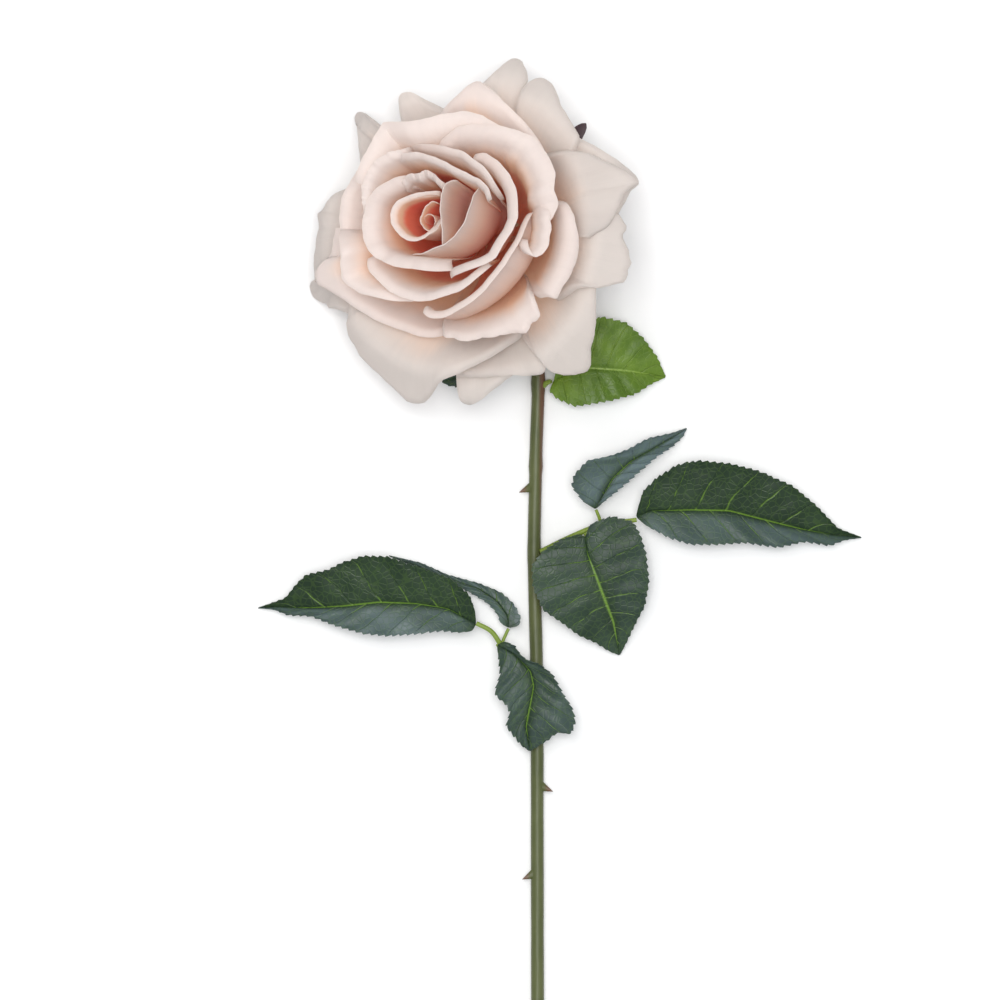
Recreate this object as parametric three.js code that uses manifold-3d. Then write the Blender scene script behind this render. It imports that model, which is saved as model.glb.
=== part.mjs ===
// A cut garden rose lying on a flat surface: an open double bloom on a bent neck, a thorny stem
// and three compound leaves. Millimetres, +Z up. The stem runs along -Y and the bloom faces up.
// The origin is at the centre of the footprint, on the surface that the rose lies on.
import * as THREE from "three";
import { mergeVertices } from "three/addons/utils/BufferGeometryUtils.js";
import Module from "manifold-3d";

const wasm = await Module();
wasm.setup();

// ---------------------------------------------------------------- driving dimensions
const BLOOM_RADIUS = 62; // reach of the outermost petals from the bloom's axis
const PETAL_THICKNESS = 0.5;
const BLOOM_TILT = 22; // degrees, the axis leans to -X
const BLOOM_NOD = 4; // degrees, the axis leans to +Y
const HIP_LENGTH = 10.5;
const HIP_RADIUS = 7.6;
const SEPAL_LENGTH = 1.0; // factor on the reach of all five sepals
const STEM_RADIUS = 2.2;
const STEM_END_Y = -250; // where the cut end lies
const NECK_BEND = 6.6; // radius of the bend under the hip
const LEAF_SCALE = 1.0; // factor on the width of every leaflet
const LEAF_THICKNESS = 0.45;
const RACHIS_RADIUS = 0.9;
const GAP = 0.3; // clearance between neighbouring pieces

const K = BLOOM_RADIUS / 62;
const rad = THREE.MathUtils.degToRad;

// The bloom's frame: its origin is the middle of the petals' seat.
const NECK_X = -4.1; // where the seat stands over the ground
const NECK_Y = 90.4;
const SEAT_Z = STEM_RADIUS + NECK_BEND + HIP_LENGTH + 0.4;

// ---------------------------------------------------------------- materials
const paint = (color, roughness) => new THREE.MeshStandardMaterial({ color, roughness, metalness: 0 });
const MATERIALS = {
  heart: paint("#d99a80", 0.6),
  petal: paint("#ddcfc7", 0.6),
  guard: paint("#d8d0c6", 0.62),
  sepal: paint("#4c5a36", 0.6),
  hip: paint("#6a7f45", 0.5),
  stem: paint("#5a6039", 0.5),
  leaf: paint("#34452f", 0.42),
  young: paint("#64802f", 0.42),
};

const root = new THREE.Group();

function piece(parent, name, geometry, material) {
  const mesh = new THREE.Mesh(geometry, MATERIALS[material]);
  mesh.name = name;
  parent.add(mesh);
  return mesh;
}

// ---------------------------------------------------------------- helpers
// A box of (across x along) segments laid on a surface: one closed sheet of even thickness.
function sheet(across, along, thickness, surface) {
  const box = new THREE.BoxGeometry(2, 1, 1, across, along, 1);
  const at = box.attributes.position;
  const du = new THREE.Vector3();
  const dv = new THREE.Vector3();
  const e = 1e-3;
  for (let i = 0; i < at.count; i++) {
    const u = at.getX(i);
    const v = at.getY(i) + 0.5;
    const side = at.getZ(i);
    du.subVectors(surface(Math.min(u + e, 1), v), surface(Math.max(u - e, -1), v));
    dv.subVectors(surface(u, Math.min(v + e, 1)), surface(u, Math.max(v - e, 0)));
    const normal = du.cross(dv).normalize();
    const p = surface(u, v).addScaledVector(normal, side * thickness);
    at.setXYZ(i, p.x, p.y, p.z);
  }
  return tidy(box);
}

// Shared vertices merged, so that a piece is one closed surface.
function tidy(geometry) {
  const bare = new THREE.BufferGeometry();
  bare.setAttribute("position", geometry.attributes.position);
  if (geometry.index) bare.setIndex(geometry.index);
  const merged = mergeVertices(bare, 1e-4);
  merged.computeVertexNormals();
  return merged;
}

function solid(geometry) {
  const g = tidy(geometry);
  return new wasm.Manifold(
    new wasm.Mesh({
      numProp: 3,
      vertProperties: new Float32Array(g.attributes.position.array),
      triVerts: new Uint32Array(g.index.array),
    }),
  );
}

function geometryOf(body) {
  const { vertProperties, triVerts } = body.getMesh();
  const g = new THREE.BufferGeometry();
  g.setAttribute("position", new THREE.BufferAttribute(new Float32Array(vertProperties), 3));
  g.setIndex(new THREE.BufferAttribute(new Uint32Array(triVerts), 1));
  g.computeVertexNormals();
  return g;
}

function rod(curve, radius, steps, sides) {
  const shape = new THREE.Shape().absarc(0, 0, radius, 0, 2 * Math.PI, false);
  return new THREE.ExtrudeGeometry(shape, {
    extrudePath: curve,
    steps,
    curveSegments: sides,
    bevelEnabled: false,
  });
}

const smooth = (x) => {
  const t = Math.min(Math.max(x, 0), 1);
  return t * t * (3 - 2 * t);
};

// ---------------------------------------------------------------- petals
// All petals lie in one family of nested cups. A cup's profile from seat to rim is a cubic through
// the four points of a row, as [radius, height]; the rows run from the heart to the outermost cup.
const CUPS = [
  [[0.8, 12], [0.9, 26], [1.2, 40], [1.5, 54]],
  [[3.5, 10], [15, 18], [14, 42], [14, 60]],
  [[7, 5], [34, 8], [32, 44], [44, 50]],
  [[10, 0], [40, -2], [52, 22], [62, 4]],
];
const cubic = (t) => [(1 - t) ** 3, 3 * t * (1 - t) ** 2, 3 * t * t * (1 - t), t ** 3];

// Point [radius, height] of cup `layer` (0 heart, 1 outermost) at `rise` (0 seat, 1 rim).
// Past the rim a cup runs straight on.
function cup(layer, rise) {
  if (rise > 1) {
    const [r0, h0] = cup(layer, 0.999);
    const [r1, h1] = cup(layer, 1);
    const on = (rise - 1) / 0.001;
    return [r1 + on * (r1 - r0), h1 + on * (h1 - h0)];
  }
  const a = cubic(layer);
  const b = cubic(rise);
  let r = 0;
  let h = 0;
  for (let i = 0; i < 4; i++)
    for (let j = 0; j < 4; j++) {
      r += a[i] * b[j] * CUPS[i][j][0];
      h += a[i] * b[j] * CUPS[i][j][1];
    }
  return [r * K, h * K];
}

// name, azimuth and half width in degrees, layer, drift of the layer from one edge to the other,
// rise of the layer towards both edges, reach of the tip, reach of the shoulders, pointedness,
// where the tip sits between the edges (-1..1)
const PETALS = [
  ["heart_1", 60, 140, 0.038, 0.01, 0, 0.93, 0.9, 0, 0],
  ["heart_2", 250, 120, 0.086, 0.01, 0, 0.96, 0.9, 0, 0],
  ["bud_1", 95, 85, 0.14, 0.01, 0, 0.98, 0.86, 0, 0],
  ["bud_2", 285, 60, 0.148, 0, 0, 0.98, 0.86, 0, 0],
  ["bud_3", 180, 88, 0.225, 0, -0.02, 1, 0.86, 0, 0],
  ["inner_1", 5, 58, 0.182, 0, 0.05, 1, 0.9, 0, 0],
  ["inner_2", 90, 40, 0.285, -0.01, 0.01, 0.98, 0.85, 0, 0],
  ["inner_3", 306, 80, 0.265, 0.03, 0.07, 1, 0.85, 0, 0],
  ["inner_4", 205, 88, 0.345, 0.01, 0.02, 1, 0.82, 0, 0],
  ["inner_5", 62, 54, 0.405, 0, 0.03, 1.1, 0.85, 0, 0],
  ["middle_1", 325, 52, 0.43, 0.03, 0.01, 1.05, 0.82, 0, 0],
  ["middle_2", 258, 55, 0.49, 0, 0.01, 1.02, 0.85, 0, 0],
  ["middle_3", 158, 46, 0.466, 0, 0, 1.1, 0.78, 0, -0.3],
  ["middle_4", 35, 48, 0.515, 0, 0.01, 1.12, 0.6, 0.2, -0.3],
  ["middle_5", 308, 54, 0.545, 0.01, 0.01, 0.97, 0.86, 0, 0],
  ["middle_6", 112, 44, 0.595, 0, 0, 1.08, 0.9, 0, 0.2],
  ["middle_7", 213, 36, 0.59, -0.02, 0, 1.1, 0.6, 0.3, -0.6],
  ["middle_8", 352, 32, 0.6, 0, 0, 1.12, 0.75, 0, 0.3],
  ["middle_9", 46, 54, 0.645, 0, 0.01, 1.17, 0.6, 0.2, -0.35],
  ["outer_1", 178, 42, 0.655, 0, 0, 1, 0.85, 0, 0],
  ["outer_2", 292, 31, 0.67, 0.01, 0, 1.15, 0.75, 0.1, 0.6],
  ["outer_3", 346, 27, 0.71, 0, 0, 1.08, 0.8, 0, 0],
  ["outer_4", 78, 42, 0.73, 0, 0, 1.13, 0.72, 0.7, 0],
  ["outer_5", 222, 46, 0.745, 0, 0, 1.22, 0.55, 0.3, -0.61],
  ["guard_1", 15, 36, 0.795, 0, 0, 1.17, 0.65, 0.6, 0],
  ["guard_2", 346, 28, 0.834, 0, 0, 1.16, 0.7, 0.5, 0],
  ["guard_3", 309, 34, 0.895, 0, 0, 1.18, 0.62, 0.7, 0],
  ["guard_4", 249, 42, 0.84, 0, 0, 1.2, 0.62, 0.8, 0],
  ["guard_5", 62, 30, 0.85, 0, 0, 1.09, 0.5, 0.9, 0],
  ["guard_6", 178, 35, 0.87, 0, 0, 1.08, 0.75, 0, 0],
  ["guard_7", 137, 26, 0.926, 0, 0, 1.2, 0.42, 0.95, 0],
  ["guard_8", 113, 26, 0.88, 0, 0, 0.93, 0.5, 0.9, 0],
  ["guard_9", 79, 26, 0.93, 0, 0, 1.07, 0.42, 0.9, 0],
  ["guard_10", 285, 28, 0.932, 0, 0, 0.93, 0.75, 0.2, 0],
  ["guard_11", 266, 22, 0.979, 0, 0, 0.99, 0.5, 0.9, 0],
  ["guard_12", 206, 30, 0.918, 0, 0, 1.22, 0.6, 0.4, -0.2],
  ["guard_13", 14, 30, 0.93, 0, 0, 1.1, 0.5, 0.9, 0],
];

// The free edge of each outer petal at even steps from its clockwise to its other flank:
// azimuth in degrees and rise on the petal's cup.
const EDGES = {
  outer_1: [
    [140.9, 0.824], [144.4, 0.861], [149.1, 0.887], [153.7, 0.913], [158.4, 0.931], [163, 0.945],
    [167.7, 0.95], [172.3, 0.937], [177, 0.923], [181.7, 0.909], [186.5, 0.9], [190.8, 0.941],
    [193.8, 1.004],
  ],
  outer_2: [
    [-99.5, 0.581], [-94, 0.776], [-87.1, 0.92], [-79.5, 0.975], [-72.3, 1.005], [-65.4, 1.053],
    [-58.8, 1.115], [-53, 1.214], [-48.3, 1.211], [-43, 1.217], [-39.4, 1.057], [-36.7, 0.824],
    [-35.8, 0.454],
  ],
  outer_3: [
    [-39.5, 0.398], [-38.6, 0.673], [-36.2, 0.966], [-33.4, 1.122], [-27.5, 1.114], [-21.5, 1.139],
    [-15.6, 1.155], [-9.6, 1.138], [-3.7, 1.107], [2.3, 1.065], [8, 0.97], [12, 0.644],
    [12.9, 0.358],
  ],
  outer_4: [
    [22.7, 0.684], [28.7, 0.801], [36.2, 0.865], [44.2, 0.884], [52.1, 0.914], [59.7, 0.964],
    [67.1, 1.036], [73.9, 1.122], [80.5, 1.123], [85.9, 0.983], [92.8, 0.831], [101.3, 0.684],
    [109.4, 0.564],
  ],
  outer_5: [
    [178.6, 0.865], [186.5, 0.914], [192, 1.066], [196.8, 1.243], [203.4, 1.124], [211.1, 0.991],
    [219.4, 0.896], [227.9, 0.814], [236.7, 0.749], [246.3, 0.707], [255.9, 0.661], [262.9, 0.551],
    [267.1, 0.417],
  ],
  guard_1: [
    [-6.2, 0.948], [-3.3, 1.064], [0.3, 1.176], [4.7, 1.253], [9, 1.334], [11.5, 1.463],
    [14.7, 1.455], [18.1, 1.348], [21.4, 1.235], [25.1, 1.126], [28.6, 1.005], [32.5, 0.855],
    [37.9, 0.672],
  ],
  guard_2: [
    [-36, 0.534], [-34.3, 0.714], [-27.9, 0.858], [-24.1, 1.001], [-21.7, 1.138], [-18, 1.237],
    [-13.9, 1.264], [-8.8, 1.213], [-3.6, 1.171], [1.7, 1.127], [2.6, 1.039], [3.5, 0.912],
    [4.4, 0.696],
  ],
  guard_3: [
    [-61.5, 0.501], [-60.6, 0.637], [-59.2, 0.834], [-58.2, 0.998], [-56.6, 1.124], [-53.5, 1.228],
    [-49.1, 1.262], [-44.8, 1.175], [-40.2, 1.097], [-35.2, 1.029], [-29.9, 0.967], [-24.7, 0.895],
    [-20.4, 0.792],
  ],
  guard_4: [
    [-150, 0.79], [-143.3, 0.956], [-135.5, 1.037], [-127.9, 1.12], [-120, 1.173], [-113.2, 1.278],
    [-105.5, 1.247], [-99.1, 1.015], [-90.1, 0.883], [-81.3, 0.762], [-71.6, 0.689], [-61.1, 0.644],
    [-54.1, 0.5],
  ],
  guard_5: [
    [30.6, 0.817], [33.3, 0.92], [37.7, 0.962], [42.6, 0.982], [47.5, 1.008], [52.1, 1.066],
    [56.6, 1.129], [61, 1.15], [63.3, 1.063], [64.2, 0.932], [65.1, 0.781], [66, 0.63],
    [66.9, 0.515],
  ],
  guard_6: [
    [159.4, 0.712], [161.7, 0.763], [164, 0.841], [167.1, 0.896], [170.5, 0.931], [173.9, 0.946],
    [177.3, 0.951], [180.7, 0.961], [184, 0.979], [187.2, 1.004], [190.3, 1.037], [193.4, 1.059],
    [195.9, 1.077],
  ],
  guard_7: [
    [128.7, 0.713], [130.6, 0.714], [131.5, 0.798], [132.4, 0.907], [134.6, 1.052], [137.2, 1.078],
    [138.2, 0.959], [139.9, 0.865], [142.1, 0.794], [144.7, 0.734], [147.4, 0.683], [150.3, 0.637],
    [152.7, 0.603],
  ],
  guard_8: [
    [99, 0.399], [99.9, 0.469], [101.2, 0.552], [103.7, 0.632], [107, 0.71], [110.1, 0.804],
    [113.7, 0.9], [117.7, 0.895], [119.7, 0.776], [122.2, 0.67], [125, 0.579], [127.8, 0.497],
    [129.4, 0.43],
  ],
  guard_9: [
    [64.1, 0.374], [65, 0.47], [65.9, 0.599], [66.8, 0.748], [67.7, 0.905], [72.3, 1.03],
    [77.3, 1.067], [79.1, 0.947], [82, 0.819], [86.4, 0.705], [91.7, 0.604], [96.8, 0.506],
    [100, 0.419],
  ],
  guard_10: [
    [-95.6, 0.734], [-92.4, 0.732], [-88.4, 0.737], [-84.4, 0.75], [-80.4, 0.76], [-76.6, 0.775],
    [-72.8, 0.799], [-69.3, 0.835], [-66, 0.876], [-62.9, 0.91], [-59.8, 0.885], [-57.9, 0.808],
    [-57, 0.725],
  ],
  guard_11: [
    [-98.7, 0.555], [-97.8, 0.618], [-96.9, 0.701], [-96, 0.794], [-95.1, 0.888], [-92.9, 0.939],
    [-89.4, 0.912], [-86, 0.858], [-82.6, 0.808], [-79.1, 0.767], [-75.6, 0.732], [-72.2, 0.693],
    [-69.4, 0.661],
  ],
  guard_12: [
    [-165.9, 1.131], [-164.9, 1.157], [-163.2, 1.175], [-161.3, 1.165], [-159.2, 1.119],
    [-157.1, 1.043], [-154.9, 0.963], [-152.8, 0.904], [-150.8, 0.857], [-148.8, 0.817],
    [-146.8, 0.783], [-144.7, 0.754], [-143.2, 0.736],
  ],
  guard_13: [
    [3.2, 0.858], [6.5, 0.921], [10.3, 0.98], [12.9, 1.061], [16.2, 1.067], [19.7, 1.019],
    [23.2, 0.963], [26.8, 0.899], [30.8, 0.829], [35.4, 0.76], [40.1, 0.672], [45.2, 0.575],
    [49.9, 0.491],
  ],
};

function petalSurface([name, azimuth, half, layer, drift, rise, reach, shoulder, point, tip]) {
  const soft = 0.12;
  const edge = EDGES[name];
  const start = edge ? 0.5 : 0.24;
  const ramp = (w) => (Math.hypot(w, soft) - soft) / (Math.hypot(1, soft) - soft);
  // azimuth and rise of the rim at u
  const rimAt = (u) => {
    const at = ((u + 1) / 2) * (edge.length - 1);
    const i = Math.min(Math.floor(at), edge.length - 2);
    return [0, 1].map((k) => edge[i][k] + (at - i) * (edge[i + 1][k] - edge[i][k]));
  };
  const middle = edge ? (edge[0][0] + edge[edge.length - 1][0]) / 2 : azimuth;
  const wide = edge ? (edge[edge.length - 1][0] - edge[0][0]) / 2 : half;
  return (u, v) => {
    const w = u > tip ? (u - tip) / (1 - tip) : (tip - u) / (1 + tip);
    const round = Math.sqrt(Math.max(1 - w ** 2.5, 0));
    const [turn, top] = edge ? rimAt(u) : [azimuth + half * u, 0];
    const curve = (1 - point) * round + point * (1 - ramp(w));
    const rim = edge ? top : reach * (shoulder + (1 - shoulder) * curve);
    // a claw at the seat widens to the blade
    const open = smooth(v / 0.55);
    const across = u * (start + (1 - start) * open);
    const theta = rad(middle + start * wide * u * (1 - open) + (turn - middle) * open);
    const lay = layer + drift * across + rise * across * across;
    const [r0, h0] = cup(lay, 0);
    const [r1, h1] = cup(lay, 0.01);
    const first = (0.01 * (GAP + 0.15)) / Math.hypot(r1 - r0, h1 - h0);
    const [r, h] = cup(lay, first + (rim - first) * v);
    return new THREE.Vector3(r * Math.cos(theta), r * Math.sin(theta), h);
  };
}

const bloom = new THREE.Group();
bloom.position.set(NECK_X, NECK_Y, SEAT_Z);
bloom.rotation.set(-rad(BLOOM_NOD), -rad(BLOOM_TILT), 0, "XYZ");
root.add(bloom);

for (const petal of PETALS) {
  const [name, , half, layer] = petal;
  const plain = half > 100 ? 12 : half > 60 ? 10 : half > 35 ? 8 : 6;
  const across = name === "guard_9" ? 11 : EDGES[name] ? 12 : plain;
  const along = 5;
  const kind = layer < 0.2 ? "heart" : layer < 0.78 ? "petal" : "guard";
  piece(bloom, `petal_${name}`, sheet(across, along, PETAL_THICKNESS, petalSurface(petal)), kind);
}

// ---------------------------------------------------------------- hip and sepals
const hipProfile = [[0, -HIP_LENGTH], [STEM_RADIUS + 0.5, -HIP_LENGTH]];
for (const [r, h] of [[0.66, 0.86], [0.93, 0.62], [1, 0.4], [0.94, 0.2], [1.0, 0.08]])
  hipProfile.push([HIP_RADIUS * r, -HIP_LENGTH * h]);
for (const layer of [0.99, 0.85, 0.7, 0.55, 0.4, 0.25, 0.1]) {
  const [r, h] = cup(layer, 0);
  hipProfile.push([r, h]);
}
hipProfile.push([0, 12 * K]);
const hip = new THREE.LatheGeometry(
  hipProfile.map(([r, h]) => new THREE.Vector2(r, h)),
  20,
);
hip.rotateX(Math.PI / 2);
piece(bloom, "receptacle", hip, "hip");

// azimuth, reach of the tip, height of the tip
const SEPALS = [
  [49, 50, -8],
  [121, 43, -6],
  [193, 34, -5],
  [265, 44, -8],
  [337, 46, -9],
];
function sepalSurface(azimuth, reach, drop) {
  const path = new THREE.QuadraticBezierCurve(
    new THREE.Vector2(0.98 * HIP_RADIUS + GAP, -0.3 * HIP_LENGTH),
    new THREE.Vector2(0.5 * reach, -4.5),
    new THREE.Vector2(reach * SEPAL_LENGTH, drop),
  );
  const a = rad(azimuth);
  return (u, v) => {
    const p = path.getPoint(v);
    const width = 4.3 * (1 - 0.25 * (1 - smooth(v / 0.2))) * (1 - v ** 1.6) + 0.35;
    const side = u * width;
    return new THREE.Vector3(
      p.x * Math.cos(a) - side * Math.sin(a),
      p.x * Math.sin(a) + side * Math.cos(a),
      p.y - 0.05 * side * side,
    );
  };
}
SEPALS.forEach((s, i) => piece(bloom, `sepal_${i + 1}`, sheet(4, 8, 0.6, sepalSurface(...s)), "sepal"));

// ---------------------------------------------------------------- stem
bloom.updateMatrixWorld(true);
const neckAt = (h) => bloom.localToWorld(new THREE.Vector3(0, 0, h));
const neckTop = neckAt(-HIP_LENGTH - GAP);
const neckLow = neckAt(-HIP_LENGTH - GAP - 1.2);
const STEM_X = 12.6;
const stemPath = new THREE.CatmullRomCurve3(
  [
    neckTop,
    neckLow,
    new THREE.Vector3(neckLow.x + 1.8, neckLow.y - 2.2, neckLow.z - 0.62 * (neckLow.z - STEM_RADIUS)),
    new THREE.Vector3(neckLow.x + 3.6, neckLow.y - 6.5, STEM_RADIUS + 0.12 * NECK_BEND),
    new THREE.Vector3(neckLow.x + 7, neckLow.y - 18, STEM_RADIUS + 0.05),
    new THREE.Vector3(STEM_X, 52, STEM_RADIUS + 0.1),
    new THREE.Vector3(STEM_X - 0.3, 14, STEM_RADIUS + 0.25),
    new THREE.Vector3(STEM_X - 0.9, -20, STEM_RADIUS + 0.15),
    new THREE.Vector3(STEM_X, -60, STEM_RADIUS),
    new THREE.Vector3(STEM_X + 0.2, -125, STEM_RADIUS + 0.2),
    new THREE.Vector3(STEM_X + 0.4, -185, STEM_RADIUS + 0.1),
    new THREE.Vector3(STEM_X + 1.5, STEM_END_Y - 8, STEM_RADIUS),
  ],
  false,
  "centripetal",
);
let stem = solid(rod(stemPath, STEM_RADIUS, 72, 6));

// a joint of the stem: a low swelling where a leaf leaves
function swelling(x, y, radius) {
  const ball = new THREE.SphereGeometry(radius, 12, 8);
  ball.scale(1, 1.3, 1);
  ball.translate(x, y, Math.max(STEM_RADIUS + 0.1, radius * 0.99));
  return solid(ball);
}
for (const [x, y] of [
  [STEM_X + 0.1, 40],
  [STEM_X - 0.7, 12.8],
  [STEM_X - 0.8, -18],
  [STEM_X, -64],
])
  stem = stem.add(swelling(x, y, STEM_RADIUS * 1.17));

// prickles: hooked cones that point down the stem; [y, side, up]
const PRICKLES = [
  [4, -1, 0.25],
  [-98, 0.9, 0.35],
  [-128, -0.9, 0.45],
  [-196, 1, 0.2],
  [-222, -0.75, 0.6],
];
for (const [y, side, up] of PRICKLES) {
  const cone = new THREE.CylinderGeometry(0.15, 1.1, 4, 7, 1);
  cone.translate(0, 2, 0);
  cone.scale(0.8, 1, 1.7);
  const out = new THREE.Vector3(side, -0.35, up).normalize();
  cone.applyQuaternion(new THREE.Quaternion().setFromUnitVectors(new THREE.Vector3(0, 1, 0), out));
  const start = STEM_RADIUS - 0.55;
  const flat = Math.hypot(side, up);
  cone.translate(STEM_X + (start * side) / flat, y, STEM_RADIUS + 0.1 + (start * up) / flat);
  stem = stem.add(solid(cone));
}

// the slanting cut at the end
const knife = new THREE.BoxGeometry(40, 20, 40);
knife.translate(0, -10, 0);
knife.rotateX(rad(-42));
knife.translate(STEM_X, STEM_END_Y + 2, STEM_RADIUS);
stem = stem.subtract(solid(knife));
piece(root, "stem", geometryOf(stem), "stem");

// ---------------------------------------------------------------- leaves
const V = (x, y, z) => new THREE.Vector3(x, y, z);

// One leaf-stalk with its side stalks, grown as one piece.
function rachis(name, stalks, material) {
  let body = null;
  for (const [radius, ...points] of stalks) {
    const stalk = solid(rod(new THREE.CatmullRomCurve3(points), radius, 3 * points.length, 4));
    body = body ? body.add(stalk) : stalk;
  }
  piece(root, name, geometryOf(body), material);
}

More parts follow.
